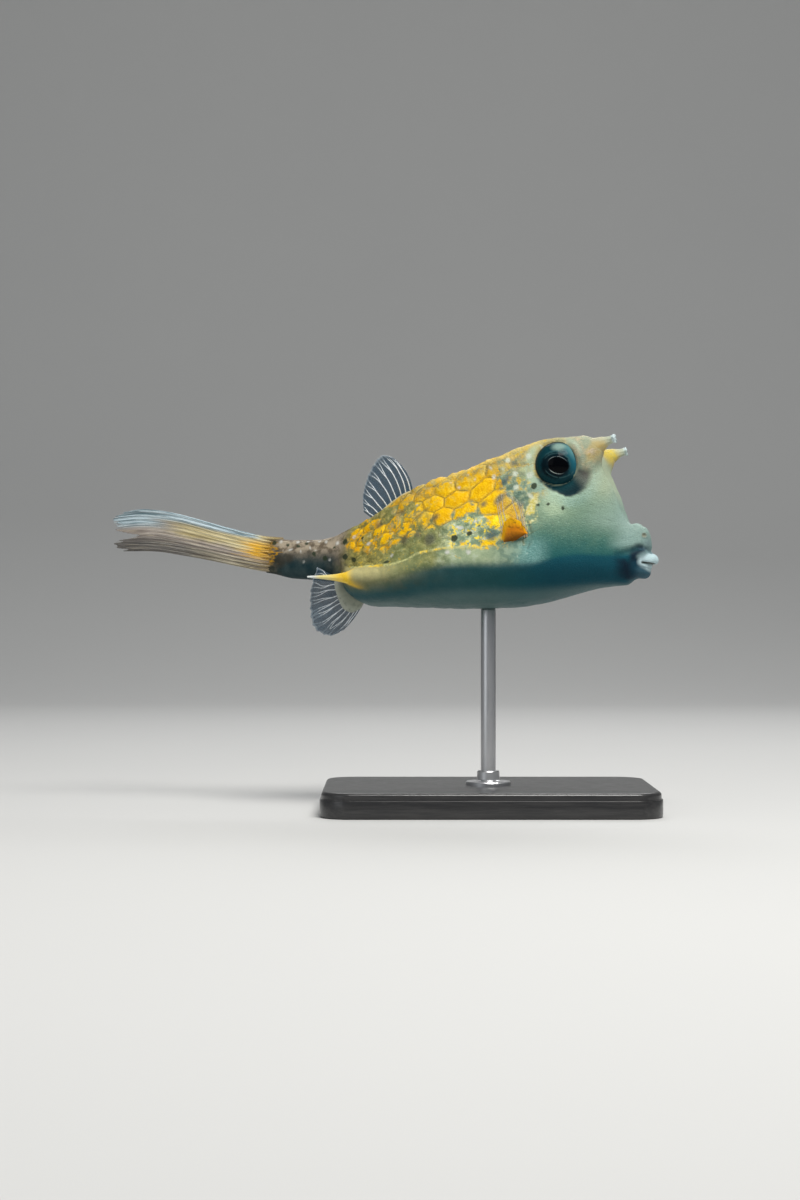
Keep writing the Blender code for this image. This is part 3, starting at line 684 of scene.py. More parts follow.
# Folds run back from the corners of the mouth and under the chin, and one rings the snout above the lips.
LIP_FOLD = ((150.4, 5.7, -1.3), (148.4, 7.1, -2.1), (146.0, 8.4, -3.1), (143.6, 9.4, -3.9), (141.4, 10.2, -4.4))
CHIN_FOLD = ((150.2, 4.4, -13.0), (147.0, 7.0, -12.4), (144.0, 8.4, -12.6), (140.5, 9.6, -13.2))
SNOUT_FOLD = ((154.4, 0.0, -2.7), (153.7, 2.4, -2.5), (152.3, 4.4, -1.9), (150.4, 5.7, -1.3))
fold_d = curve_distance(mirror, LIP_FOLD)
snout_d = curve_distance(mirror, SNOUT_FOLD)
height -= 0.50 * hill(fold_d, 1.2) * ease(141.0, 145.0, x)
height += 0.30 * hill(curve_distance(mirror, tuple((p[0] - 0.6, p[1], p[2] + 2.4) for p in LIP_FOLD)), 1.5)
height += 0.30 * hill(curve_distance(mirror, tuple((p[0] + 0.6, p[1], p[2] - 2.6) for p in LIP_FOLD[:3])), 1.5)
height -= 0.80 * hill(snout_d, 1.1)
chin_d = curve_distance(mirror, CHIN_FOLD)
height -= 0.30 * hill(chin_d, 1.4)
# The snout's rounded end stands up round the nostrils.
height += 0.55 * hill(np.linalg.norm((mirror - np.array((149.8, 3.2, 5.6))) / np.array((1.0, 1.5, 1.0)), axis=1), 3.2)
# Mouth: a slit between the lips, deeper at its corners.
MOUTH = ((150.9, 0.0, -7.3), (152.4, 0.0, -7.6), (154.2, 0.0, -7.9), (158.5, 0.0, -8.2))
mouth_d = curve_distance(mirror * np.array((1.0, 0.0, 1.0)), MOUTH)
height -= ease(150.2, 152.0, x) * (1.15 * hill(mouth_d, 0.55) + 0.30 * hill(mouth_d, 1.2))
# Nostrils: a small raised ring on each side of the snout's bump.
NOSTRIL = np.array((151.3, 4.7, 3.4))
nostril_d = np.linalg.norm(mirror - NOSTRIL, axis=1)
height += 0.20 * hill(nostril_d - 0.95, 0.4) - 0.6 * hill(nostril_d, 0.55)
# Gill slits just ahead of the pectoral fins.
GILL = ((108.0, 18.6, 7.4), (109.3, 19.2, 3.8), (109.4, 19.8, 0.0), (108.4, 20.3, -3.2))
gill_d = curve_distance(mirror, GILL)
height -= 0.7 * hill(gill_d, 0.45)
height += 0.22 * hill(gill_d - 1.1, 0.5) * ease(108.0, 109.2, x)
# Fine wrinkles over the cheeks, and a slightly rough crest to the back.
cheek = ease(108, 118, x) * ease(150, 138, x) * ease(5, -3, from_crease.reshape(-1))
height += 0.07 * cheek * value_noise(flat * np.array([0.55, 1.0, 1.7]), 1.0, 5) + 0.08 * cheek * value_noise(flat, 0.6, 6)
crest = hill(from_ridge.reshape(-1), 1.6) * ease(44, 56, x) * ease(112, 96, x)
height += crest * (0.16 + 0.26 * value_noise(flat, 0.8, 7))
crease_line = hill(from_crease.reshape(-1), 0.9) * ease(32, 40, x) * ease(106, 92, x)
height += crease_line * (0.26 + 0.26 * value_noise(flat, 0.9, 8))

fade_pole = np.ones(shape2)
fade_pole[-3:] = np.array([0.75, 0.5, 0.25])[:, None]
fade_pole[:2] = 0.0
height = height * fade_pole.reshape(-1)
skin = flat + N.reshape(-1, 3) * height[:, None]
tail_pole = np.array([[STATIONS[0, 0] - 0.2, 0.0, -3.0]])
nose_pole = np.array([skin.reshape(*shape2, 3)[-1].mean(0) + (0.05, 0, 0)])
skin_points = np.concatenate([skin, tail_pole, nose_pole])
first_pole, last_pole = len(skin), len(skin) + 1
skin_faces = loop_faces(RINGS, AROUND, 0, first_pole, last_pole)

# Dots on the flank as (x, z, radius): crisp dark ones, pale ones, and soft smoky blotches.
DARK_DOTS = (
    (0.3, 1.8, 0.95), (6.3, 0.9, 0.7), (10.8, 0.3, 0.75), (14.2, 1.2, 0.7), (17.9, -3.1, 0.95), (22.7, -4.8, 1.05), (31.3, 1.5, 1.15),
    (32.2, -4.9, 1.3), (36.7, -6.5, 1.05), (51.9, -8.0, 0.85), (79.3, 1.0, 1.35), (85.1, 2.8, 1.05), (89.0, 5.9, 0.5),
    (109.8, 21.6, 1.25), (111.7, 14.0, 0.62), (115.6, 14.4, 0.68), (121.4, 12.9, 0.72), (26.4, -0.6, 0.55), (39.6, 2.4, 0.6),
)
PALE_DOTS = (
    (3.1, 2.2, 0.85), (7.6, -1.2, 0.75), (10.4, 2.0, 0.8), (12.2, -2.0, 0.7), (14.6, 2.2, 0.75), (16.0, -0.6, 0.65), (13.6, -6.2, 0.6),
    (19.6, 2.4, 0.7), (22.6, 1.9, 0.8), (24.8, -5.6, 0.6), (27.6, 1.2, 0.9), (18.4, -1.6, 0.5), (35.4, 3.2, 0.9), (42.5, -0.1, 1.0),
    (53.6, -5.3, 0.85), (91.9, 29.3, 0.95), (93.4, 25.7, 1.05), (79.3, 21.9, 0.75), (75.7, 23.8, 0.6), (85.8, 24.8, 0.6), (82.9, 26.8, 0.5),
    (98.8, 32.2, 1.2), (107.1, 33.6, 1.35), (102.2, 26.6, 1.3), (102.6, 21.3, 1.3), (108.0, 26.1, 1.55), (87.4, 7.6, 0.95),
    (77.0, -4.7, 1.05), (85.4, -4.8, 1.1), (108.3, -5.0, 0.5), (107.2, -1.6, 0.4), (104.6, -6.4, 0.4), (108.6, 17.6, 1.3), (62.4, 15.2, 0.6),
    (81.2, 5.2, 1.2), (97.2, 28.6, 0.7), (112.2, 37.2, 0.9),
)
SMOKY = (
    (96.6, 16.7, 1.9), (90.1, 14.7, 1.0), (94.0, 1.8, 2.0), (105.0, 14.1, 1.3), (98.4, 24.0, 1.5), (46.2, 7.7, 1.5), (69.2, 0.6, 2.2),
    (58.3, 0.8, 1.8), (101.5, 31.0, 1.1), (3.2, -5.6, 2.6), (7.0, -4.6, 2.0), (70.6, 9.6, 1.4), (55.6, 12.4, 1.2), (64.0, 3.0, 1.3),
)


def dot_distance(dots, seed):
    """Distance to the nearest dot's edge, in millimetres; below 0 inside it. The left side has them shuffled."""
    best = np.full(len(flat), 9.0)
    moves = np.random.default_rng(seed).uniform(-1.8, 1.8, (len(dots), 2))
    for (cx, cz, r), (mx, mz) in zip(dots, moves):
        left = flat[:, 1] > 0
        dx, dz = x - cx - np.where(left, mx, 0), z - cz - np.where(left, 0.5 * mz, 0)
        turn, squash = cx * 1.7, 0.86 + 0.2 * math.sin(cz)
        along, over = dx * math.cos(turn) + dz * math.sin(turn), dz * math.cos(turn) - dx * math.sin(turn)
        best = np.minimum(best, np.hypot(along * squash, over / squash) - r)
    return np.where(from_ridge.reshape(-1) > -1.5, best, 9.0)


# Smaller dots scattered over the back between the ridges.
rng = np.random.default_rng(41)
back_dots = [(rng.uniform(34, 108), rng.uniform(-11.0, 11.0), rng.uniform(0.5, 1.0)) for _ in range(46)]
back_d = np.full(len(flat), 9.0)
for cx, cy, r in back_dots:
    back_d = np.minimum(back_d, np.hypot(x - cx, flat[:, 1] - cy) - r)
back_d = np.where(from_ridge.reshape(-1) < 0.5, back_d, 9.0)
dark_d = dot_distance(DARK_DOTS, 1)
pale_d = np.minimum(dot_distance(PALE_DOTS, 2), back_d)
smoke_d = dot_distance(SMOKY, 3)

# Where the yellow lies: above a line along the flank and behind the head.
yellow_floor = np.interp(x, (30, 36, 42, 50, 58, 66, 74, 80, 85, 89, 94, 100, 104), (2.0, -1.5, -3.0, -2.5, 1.5, 5.5, 5.5, 8.5, 11.5, 9.0, 5.5, 4.0, 6.0))
yellow_roof = np.interp(x, (84, 91, 95, 98, 101, 105, 108), (60, 38, 29, 20, 15, 13.5, 12.0))
yellow = np.minimum(np.minimum(z - yellow_floor, yellow_roof - z), np.minimum((x - 34.0) * 0.6, (105.5 - x) * 0.8))
for cx, cz, rx, rz in ((82.4, -1.9, 2.6, 2.1), (91.3, -1.6, 3.4, 1.4), (109.1, 12.8, 1.5, 3.6), (101.5, 9.0, 4.5, 6.0), (93.6, -3.2, 2.8, 0.9)):
    yellow = np.maximum(yellow, (1 - np.hypot((x - cx) / rx, (z - cz) / rz)) * 2.2)
on_back = ease(1.5, -1.5, from_ridge.reshape(-1))
yellow = yellow * (1 - on_back) + on_back * np.minimum(np.minimum(x - 36, 97 - x) * 0.35, 4.0)
# The warm brown of brow, nape and upper tail root.
tan = np.maximum(
    ease(92, 104, x) * ease(22, 33, z) * ease(138, 126, x),
    0.85 * ease(34, 26, x) * ease(-4.0, 0.0, z + 0.12 * np.maximum(0, 12 - x)),
)
tan = np.maximum(tan, 0.95 * pad * ease(22, 28, z))
tan = np.maximum(tan, ease(3.6, 0.8, near_horn.reshape(-1)) * ease(27, 32, z))
# Teal under the keel, partly the skin's own tint and partly painted shade, deepest under the cheek, and paler at the
# belly's edge.
keel_d = from_keel.reshape(-1)
soften = np.interp(x, (40, 80, 104, 118, 150), (3.4, 3.2, 2.4, 0.9, 0.9))
teal_top = np.interp(x, (78, 92, 102, 110, 114, 120, 127, 150), (-0.4, -1.8, -3.2, -2.4, -0.8, 0.8, 1.6, 1.7)) + 0.5 * value_noise(flat, 0.16, 16)
teal = ease(-soften, soften, keel_d + teal_top) * (1 - 0.80 * ease(8.5, 15.0, keel_d)) * np.interp(x, (30, 60, 84, 104, 118, 150), (0.06, 0.26, 0.60, 0.92, 1.0, 1.0))
# Painted shadow: a dark blue patch under the chin and behind the mouth's corners, along this path.
CHIN = ((141.4, 9.6, -9.6), (144.4, 8.2, -10.8), (147.4, 6.6, -11.2), (149.4, 6.6, -7.0), (149.8, 6.4, -4.8))
painted_chin_shadow = ease(6.0, 1.6, curve_distance(mirror, CHIN) + 0.8 * value_noise(flat, 0.45, 15))
# Painted light: the front of the face, above the mouth, is paler, over a tan-green tint of its own.
pale_face = ease(124, 142, x) * ease(-1.0, 8.0, z)
lower_cheek = ease(98, 104, x) * ease(119, 111, x) * ease(4.0, -4.0, z) * ease(4.5, 1.5, keel_d)
lemon = (1 - np.hypot((x - 97.2) / 3.9, (z - 8.0 - 0.12 * (x - 97.2)) / 2.5)) * 2.5  # a bright patch behind the pectoral fin
snout_shade = hill(np.linalg.norm((mirror - np.array((153.0, 3.4, 0.2))) / np.array((1.0, 1.2, 1.0)), axis=1), 3.0)


def both(values):
    """Adds the two poles' values, taken from their rings."""
    values = np.asarray(values, float).reshape(len(flat), -1)
    return np.concatenate([values, values[:AROUND].mean(0, keepdims=True), values[-AROUND:].mean(0, keepdims=True)])


cols = lambda *a: both(np.stack([np.asarray(v, float).reshape(-1) for v in a], 1))
skin_fields = {
    "fish": skin_points,
    "plates": cols(lattice_a, lattice_b, plate_show),
    "dots": cols(dark_d, pale_d, yellow),
    "orbit": cols(eye_r, eye_angle, eye_r - rim_r),
    "slits": cols(mouth_d, np.minimum(gill_d, 9.0), nostril_d),
    "shades": cols(smoke_d, snout_shade, near_spine),
    "bands": cols(from_crease, keel_d, from_ridge),
    "lemon": cols(lemon, 0 * x, 0 * x),
    "tones": cols(teal, tan, pale_face),
    "more": cols(painted_chin_shadow, fold_d, lower_cheek),
    "lips": cols(near_lips, near_horn, crescent),
    "front": cols(snout_d, pad, chin_d),
}
ring_v = np.arange(RINGS) / (RINGS - 1) * 0.98 + 0.01


def skin_uv(faces):
    """Map by ring and by place round the ring, open along the belly, so that it has no folds."""
    along = np.concatenate([[0], np.cumsum(np.linalg.norm(np.diff(P[:, HALF - 1], axis=0), axis=1))])
    v_ring = 0.01 + 0.98 * along / along[-1]
    uv = []
    half = HALF - 1
    for f in faces:
        cols_ = [i % AROUND for i in f if i < len(flat)]
        for i in f:
            if i >= len(flat):
                j = float(np.mean([((c - half) % AROUND) for c in cols_]))
                j = cols_[0] if j > AROUND else j
                uv.append((0.01 + 0.98 * (j + 0.5) / AROUND, 0.002 if i == first_pole else 0.998))
                continue
            r, c = divmod(i, AROUND)
            j = (c - half) % AROUND
            if j == 0 and any(((d - half) % AROUND) > half for d in cols_):
                j = AROUND
            uv.append((0.01 + 0.98 * j / AROUND, v_ring[r]))
    return np.array(uv)


def skin_material():
    kit = Kit("cowfish_skin")
    fish = kit.field("fish")
    fx, fy, fz = kit.split(fish)
    a, b, show = kit.split(kit.field("plates"))
    dark, pale, yellow = kit.split(kit.field("dots"))
    er, ea, erim = kit.split(kit.field("orbit"))
    mouth, gill, nostril = kit.split(kit.field("slits"))
    crease, keel, ridge = kit.split(kit.field("bands"))
    teal, tan, face = kit.split(kit.field("tones"))
    chin, lipfold, cheek_low = kit.split(kit.field("more"))
    lips_d, horn_d, crescent = kit.split(kit.field("lips"))
    smoke, snout, spine_d = kit.split(kit.field("shades"))
    ring_d, pad, chin_d = kit.split(kit.field("front"))

    broad = kit.noise(fish, 0.07, 3.0)
    mid = kit.noise(fish, 0.22, 4.0, 0.6)
    patch = kit.noise(kit.stretch(fish, (1.0, 1.0, 1.15)), 0.36, 3.0, 0.5)
    small = kit.noise(fish, 0.75, 4.0, 0.6)
    grain = kit.noise(fish, 2.6, 3.0, 0.65)

    # the plate lattice, drawn sharp
    half3 = ROOT3 / 2
    wa, wb = a + (mid - 0.5) * 0.16, b + (patch - 0.5) * 0.12
    gx1, gy1 = (wa + 0.5).mod(1.0) - 0.5, (wb + half3).mod(ROOT3) - half3
    gx2, gy2 = wa.mod(1.0) - 0.5, wb.mod(ROOT3) - half3
    first = (gx1 * gx1 + gy1 * gy1).below(gx2 * gx2 + gy2 * gy2)
    gx = gx1 * first + gx2 * (1.0 - first)
    gy = gy1 * first + gy2 * (1.0 - first)
    inside = 0.5 - (gx.abs()).high(gx.abs() * 0.5 + gy.abs() * half3)
    number = kit.join(((wa - gx) * 2.0).math("ROUND"), ((wb - gy) * (2 / ROOT3)).math("ROUND"), fy.math("SIGN") * 0.5 + 3.7)
    cell = kit.white(number)

    # head: sage, paler in front and above as painted light, darker and greener below as painted shade
    wrinkle = kit.noise(kit.stretch(fish, (0.5, 1.0, 2.0)), 0.9, 4.0, 0.62, 0.7)
    level = fz + (mid - 0.5) * 5.0 + (wrinkle - 0.5) * 5.0
    pores = kit.noise(kit.stretch(fish, (0.8, 1.0, 1.5)), 1.5, 4.0, 0.65, 0.5)
    sage = kit.mix(level.ease(-7.0, 4.0), (0.012, 0.098, 0.098), (0.062, 0.165, 0.128))
    sage = kit.mix(level.ease(0.5, 13.0), sage, (0.255, 0.370, 0.250))
    sage = kit.mix(level.ease(16.0, 30.0) * 0.7, sage, (0.43, 0.50, 0.37))
    sage = kit.mix(pores.ease(0.52, 0.70) * 0.55 * fz.ease(-6.0, 4.0), sage, kit.mix(fz.ease(0.0, 14.0), (0.18, 0.33, 0.28), (0.42, 0.53, 0.40)))
    sage = kit.mix(pores.ease(0.46, 0.30) * 0.50, sage, kit.mix(fz.ease(0.0, 14.0), (0.020, 0.085, 0.075), (0.150, 0.245, 0.170)))
    under_eye = (1.0 - ((erim - 2.6) / 4.2).abs().ease(0.0, 1.0)) * er.ease(24.0, 16.0) * ea.ease(8.0, -20.0)
    sage = kit.mix(under_eye * (0.25 + 0.55 * pores.ease(0.35, 0.6)), sage, (0.36, 0.54, 0.46))
    # painted light: paler front of the face, with its own tan-green tint
    sage = kit.mix(face * fz.ease(0.0, 9.0) * 0.75, sage, kit.mix(fz.ease(9.0, 22.0), (0.44, 0.56, 0.49), (0.40, 0.46, 0.32)))
    sage = kit.mix(fx.ease(136.0, 145.0) * fz.ease(-4.5, 1.0) * 0.75, sage, kit.mix(pores, (0.20, 0.33, 0.31), (0.38, 0.49, 0.44)))
    sage = kit.mix(cheek_low * 0.80, sage, kit.mix(pores.ease(0.4, 0.62), (0.120, 0.270, 0.250), (0.21, 0.39, 0.36)))
    sage = kit.mix((fx + (mid - 0.5) * 8.0).ease(120.0, 129.0) * fx.ease(147.0, 139.0) * level.ease(22.0, 13.0) * level.ease(-2.0, 4.0) * 0.45, sage, (0.100, 0.205, 0.150))
    # painted light: a paler strip over the upper cheek round the eye
    sage = kit.mix(fx.ease(112.0, 116.0) * fx.ease(124.0, 118.0) * level.ease(8.0, 13.0) * 0.45, sage, (0.56, 0.70, 0.47))
    # trunk: pale grey-green ground in front, olive behind
    pale_ground = kit.mix(patch.ease(0.35, 0.62), (0.17, 0.24, 0.15), (0.44, 0.51, 0.32))
    pale_ground = kit.mix(patch.ease(0.54, 0.66) * 0.7, pale_ground, (0.58, 0.64, 0.54))
    fleck = (small * 0.55 + patch * 0.45 + (mid - 0.5) * 0.3).ease(0.515, 0.56) * fx.ease(74.0, 80.0) * fx.ease(101.0, 96.0) * fz.ease(-4.5, -2.5) * fz.ease(12.0, 8.0)
    pale_ground = kit.mix(fleck, pale_ground, kit.mix(small, (0.72, 0.50, 0.02), (0.88, 0.72, 0.09)))
    pale_ground = kit.mix(crease.ease(-1.5, 1.0) * fx.ease(66.0, 84.0) * 0.7, pale_ground, kit.mix(mid, (0.27, 0.34, 0.20), (0.36, 0.43, 0.27)))
    pale_ground = kit.mix(fx.ease(92.0, 100.0) * 0.7, pale_ground, kit.mix(patch.ease(0.4, 0.6), (0.10, 0.18, 0.15), (0.22, 0.31, 0.23)))
    olive = kit.mix(patch.ease(0.30, 0.66), (0.150, 0.165, 0.055), (0.275, 0.275, 0.100))
    olive = kit.mix(small.ease(0.50, 0.66) * 0.55, olive, (0.34, 0.37, 0.190))
    olive = kit.mix(mid.ease(0.50, 0.36) * 0.5, olive, (0.125, 0.170, 0.075))
    olive = kit.mix((fx + (mid - 0.5) * 8.0).ease(56.0, 44.0) * 0.55, olive, kit.mix(small.ease(0.4, 0.6), (0.185, 0.150, 0.035), (0.36, 0.28, 0.06)))
    olive = kit.mix((small * 0.6 + patch * 0.4).ease(0.555, 0.60) * fx.ease(34.0, 40.0) * fx.ease(74.0, 58.0) * 0.65, olive, (0.50, 0.34, 0.020))
    olive = kit.mix((fx + (mid - 0.5) * 6.0).ease(36.0, 28.0), olive, kit.mix(patch.ease(0.35, 0.62), (0.100, 0.085, 0.062), (0.205, 0.170, 0.125)))
    ground = kit.mix((fx + (mid - 0.5) * 14.0).ease(80.0, 70.0), pale_ground, olive)
    ground = kit.mix((fx + (mid - 0.5) * 10.0 + (fz - 14.0) * -0.25).ease(104.0, 115.0), ground, sage)
    # yellow plates: full in front, broken into rounded islands to the rear
    rear = fx.ease(76.0, 46.0)
    low_rows = yellow.ease(7.0, 3.0) * fx.ease(40.0, 56.0) * ridge.ease(4.0, 9.0)
    gap = rear * 0.010 + low_rows * 0.045 - 0.010
    island = (inside - gap + (patch - 0.5) * 0.48 + (small - 0.5) * (0.16 + 0.55 * rear)).ease(-0.06, 0.09)
    keep = (cell + rear * -0.10 + (mid - 0.5) * 0.9).ease(-0.06, 0.14)
    drift = (cell - 0.5) * 3.6 + (mid - 0.5) * 10.0 + (small - 0.5) * 4.0
    share = (0.15 + 0.40 * rear).high(low_rows * 0.95)
    slant = kit.noise(kit.stretch(fish, (1.2, 1.0, 0.75)), 0.24, 3.0, 0.55, 0.4)
    blotch = 1.0 - fx.ease(74.0, 60.0) * (1.0 - (slant * 0.75 + small * 0.25 + (cell - 0.5) * 0.05).ease(0.450, 0.500)) * 0.90
    is_yellow = (yellow + drift).ease(-1.2, 1.2) * (island * share + (1.0 - share)) * keep * blotch
    gold = kit.mix((small * 0.6 + patch * 0.4).ease(0.36, 0.62), (0.70, 0.370, 0.000), (0.90, 0.575, 0.002))
    gold = kit.mix(cell.ease(0.35, 0.95) * 0.45, gold, (0.76, 0.385, 0.000))
    # painted shade: each plate darkens towards its grooved edge
    gold = kit.mix(inside.ease(0.13, 0.01) * 0.60 * show, gold, (0.50, 0.275, 0.008))
    gold = kit.mix(rear * 0.80 * (mid * 0.5 + small * 0.5).ease(0.42, 0.58), gold, (0.66, 0.300, 0.000))
    gold = kit.mix(fx.ease(72.0, 54.0) * grain.ease(0.52, 0.66) * 0.5, gold, (0.36, 0.200, 0.010))
    gold = kit.mix(fx.ease(103.0, 108.0) * 0.85, gold, kit.mix(small.ease(0.42, 0.6), (0.56, 0.55, 0.16), (0.66, 0.70, 0.42)))
    colour = kit.mix(is_yellow, ground, gold)
    # brownish bloom along the ridge of the back
    bloom = ridge.ease(8.0, 2.0) * ridge.ease(-3.0, -0.5) * fx.ease(48.0, 62.0) * fx.ease(104.0, 96.0) * (patch * 0.6 + small * 0.4 + (cell - 0.5) * 0.16).ease(0.42, 0.56)
    colour = kit.mix(bloom * 0.88, colour, kit.mix(small.ease(0.35, 0.65), (0.19, 0.155, 0.070), (0.36, 0.30, 0.13)))
    rear_bloom = (0.28 + 0.72 * rear) * yellow.ease(-2.0, 1.5) * (mid * 0.6 + small * 0.4 + (patch - 0.5) * 0.5).ease(0.53, 0.62) * fx.ease(90.0, 84.0)
    colour = kit.mix(rear_bloom * 0.75, colour, kit.mix(small.ease(0.4, 0.6), (0.20, 0.185, 0.085), (0.34, 0.31, 0.16)))
    # broken dark lines between the plates
    line = (inside + (small - 0.5) * 0.03).ease(0.030, 0.008) * show.ease(0.1, 0.8) * (0.60 + is_yellow * 0.25 - rear * 0.46) * (patch * 0.6 + small * 0.4).ease(0.44, 0.53)
    colour = kit.mix(line * 0.85, colour, kit.mix(rear.high(low_rows * 0.6), (0.190, 0.170, 0.045), (0.075, 0.085, 0.030)))
    # painted highlight on the bulge of each yellow plate
    painted_plate_highlight = inside.ease(0.045, 0.08) * inside.ease(0.15, 0.09) * show * patch.ease(0.45, 0.6)
    colour = kit.mix(painted_plate_highlight * is_yellow * 0.35, colour, (0.96, 0.72, 0.10))
    # tan nape, brow and tail root
    warm = kit.mix(small.ease(0.35, 0.65), (0.36, 0.325, 0.150), (0.55, 0.455, 0.215))
    warm = kit.mix(fx.ease(118.0, 126.0) * 0.85, warm, kit.mix((mid + (small - 0.5) * 0.5).ease(0.38, 0.60), (0.30, 0.36, 0.27), (0.50, 0.455, 0.31)))
    horny = kit.mix(kit.noise(fish, 0.3, 3.0, 0.5).ease(0.36, 0.62), (0.50, 0.355, 0.105), (0.43, 0.355, 0.165))
    warm = kit.mix(horn_d.ease(2.4, 0.1) * (fx - fz * 0.23 + (mid - 0.5) * 2.0).ease(121.6, 124.4) * fz.ease(41.0, 37.5), warm, horny)
    # painted highlights: pale peach patches on the horn's root
    warm = kit.mix(horn_d.ease(2.4, 0.1) * mid.ease(0.54, 0.64) * fx.ease(124.0, 128.0) * 0.55, warm, (0.66, 0.56, 0.44))
    warm = kit.mix(horn_d.ease(1.6, 0.2) * (fy.abs()).ease(13.2, 11.6) * fz.ease(27.0, 31.0) * 0.8, warm, (0.60, 0.455, 0.045))
    warm = kit.mix(fx.ease(40.0, 30.0), warm, kit.mix((patch + (small - 0.5) * 0.4).ease(0.35, 0.62), (0.130, 0.098, 0.066), (0.39, 0.330, 0.245)))
    colour = kit.mix((tan * (0.60 + 0.40 * mid.ease(0.35, 0.6))).high(horn_d.ease(2.2, 0.2) * fz.ease(24.0, 30.0)), colour, warm)
    nape = (fx + (cell - 0.5) * 6.0 + (mid - 0.5) * 12.0 + (small - 0.5) * 4.0).ease(92.5, 100.5) * fx.ease(117.0, 112.0) * fz.ease(14.0, 24.0)
    colour = kit.mix(nape * (patch + (cell - 0.5) * 0.3).ease(0.44, 0.58) * 0.80, colour, (0.56, 0.400, 0.110))
    colour = kit.mix(nape * small.ease(0.52, 0.62) * 0.60, colour, (0.20, 0.21, 0.12))
    colour = kit.mix(nape * mid.ease(0.46, 0.32) * 0.7, colour, (0.33, 0.38, 0.20))
    colour = kit.mix(nape * (small * 0.5 + patch * 0.5).ease(0.545, 0.58) * 0.7, colour, (0.66, 0.47, 0.05))
    # painted highlight: a pale band beyond the orbit's rear rim
    behind = (1.0 - ((er - 11.0) / 3.4).abs().ease(0.0, 1.0)) * ea.abs().ease(112.0, 150.0)
    colour = kit.mix(behind * 0.75, colour, (0.42, 0.54, 0.38))
    colour = kit.mix(ridge.ease(2.6, 0.6) * ridge.ease(-1.6, 0.0) * fx.ease(56.0, 76.0) * fx.ease(118.0, 108.0) * 0.5, colour, (0.86, 0.62, 0.16))
    # tail root: blue-grey below, and up to the keel where the shell ends
    tail_x = fx + (mid - 0.5) * 7.0 + (fz + 6.0) * 0.28
    tail = tail_x.ease(38.0, 33.5) * crease.ease(1.0, -0.4).high((fx + (mid - 0.5) * 4.0).ease(35.0, 28.5)) * (fz + (mid - 0.5) * 3.0).ease(0.0, -8.0) * (1.0 - (fx + (mid - 0.5) * 8.0).ease(22.0, 31.0) * fz.ease(-12.5, -7.0) * 0.80)
    colour = kit.mix(tail, colour, kit.mix(mid.ease(0.3, 0.7), (0.008, 0.026, 0.032), (0.034, 0.054, 0.056)))
    colour = kit.mix((fx + (mid - 0.5) * 6.0).ease(5.0, -1.0) * 0.85, colour, kit.mix(mid.ease(0.4, 0.6), (0.034, 0.034, 0.024), (0.110, 0.085, 0.050)))
    strand = kit.noise(kit.stretch(fish, (0.10, 1.0, 1.0)), 1.3, 3.0, 0.6)
    colour = kit.mix((fx + (strand - 0.5) * 22.0).ease(1.5, -1.0) * (1.0 - ((fz + 2.4) / 6.0).abs().ease(0.45, 1.0)) * 0.9, colour, kit.mix(strand.ease(0.38, 0.5), (0.60, 0.30, 0.006), (0.34, 0.19, 0.03)))
    # cream band of the rear keel between its two yellow edges
    under_edge = (crease + (small - 0.5) * 0.8).ease(-0.3, 0.7) * fx.ease(30.5, 35.0)
    band = fx.ease(76.0, 44.0) * under_edge * keel.ease(4.6, 0.6)
    colour = kit.mix(band * 0.9, colour, kit.mix(fx.ease(68.0, 44.0), (0.19, 0.225, 0.105), (0.42, 0.385, 0.185)))
    colour = kit.mix(band * mid.ease(0.5, 0.65) * 0.35, colour, (0.52, 0.46, 0.20))
    edge = (1.0 - ((crease + 0.1) / 0.95).abs().ease(0.0, 1.0)) * fx.ease(33.0, 38.0) * fx.ease(100.0, 84.0)
    colour = kit.mix(edge * (0.40 + 0.60 * small.ease(0.40, 0.56)), colour, kit.mix((mid + fx.ease(70.0, 40.0) * 0.10).ease(0.52, 0.60), (0.50, 0.50, 0.22), (0.84, 0.58, 0.060)))
    down = keel - 1.6 - (fx - 32.0) * 0.22 + (mid - 0.5) * 1.2
    low = down.ease(-3.0, 0.6) * down.ease(2.2, 0.6) * (fx + (mid - 0.5) * 6.0).ease(46.0, 37.0) * fx.ease(30.0, 33.0)
    colour = kit.mix(low * 0.90, colour, kit.mix(mid, (0.78, 0.44, 0.02), (0.90, 0.60, 0.06)))
    # underside: grey-teal, darkened with painted shade, pale towards the middle of the belly
    under = (keel + (mid - 0.5) * 1.5).ease(-0.5, 3.5) * fx.ease(25.0, 32.0)
    belly = kit.mix(mid, (0.012, 0.070, 0.085), (0.036, 0.102, 0.118))
    belly = kit.mix(keel.ease(9.0, 17.0), belly, (0.095, 0.165, 0.165))
    belly = kit.mix(fx.ease(80.0, 50.0) * keel.ease(8.5, 1.5) * 0.9, belly, kit.mix(mid.ease(0.4, 0.6), (0.150, 0.165, 0.075), (0.235, 0.225, 0.110)))
    belly = kit.mix(fx.ease(84.0, 60.0) * (1.0 - ((keel - 6.5) / 3.5).abs().ease(0.0, 1.0)) * mid.ease(0.42, 0.58) * fx.ease(46.0, 56.0) * 0.5, belly, (0.050, 0.070, 0.050))
    colour = kit.mix(under * (1.0 - low) * 0.96, colour, belly)
    # dark teal under the keel: the skin's teal tint deepened with painted shade
    colour = kit.mix(teal * 0.90 * (0.92 + 0.16 * broad), colour, kit.mix(fx.ease(92.0, 122.0), (0.002, 0.064, 0.070), (0.0, 0.060, 0.090)))
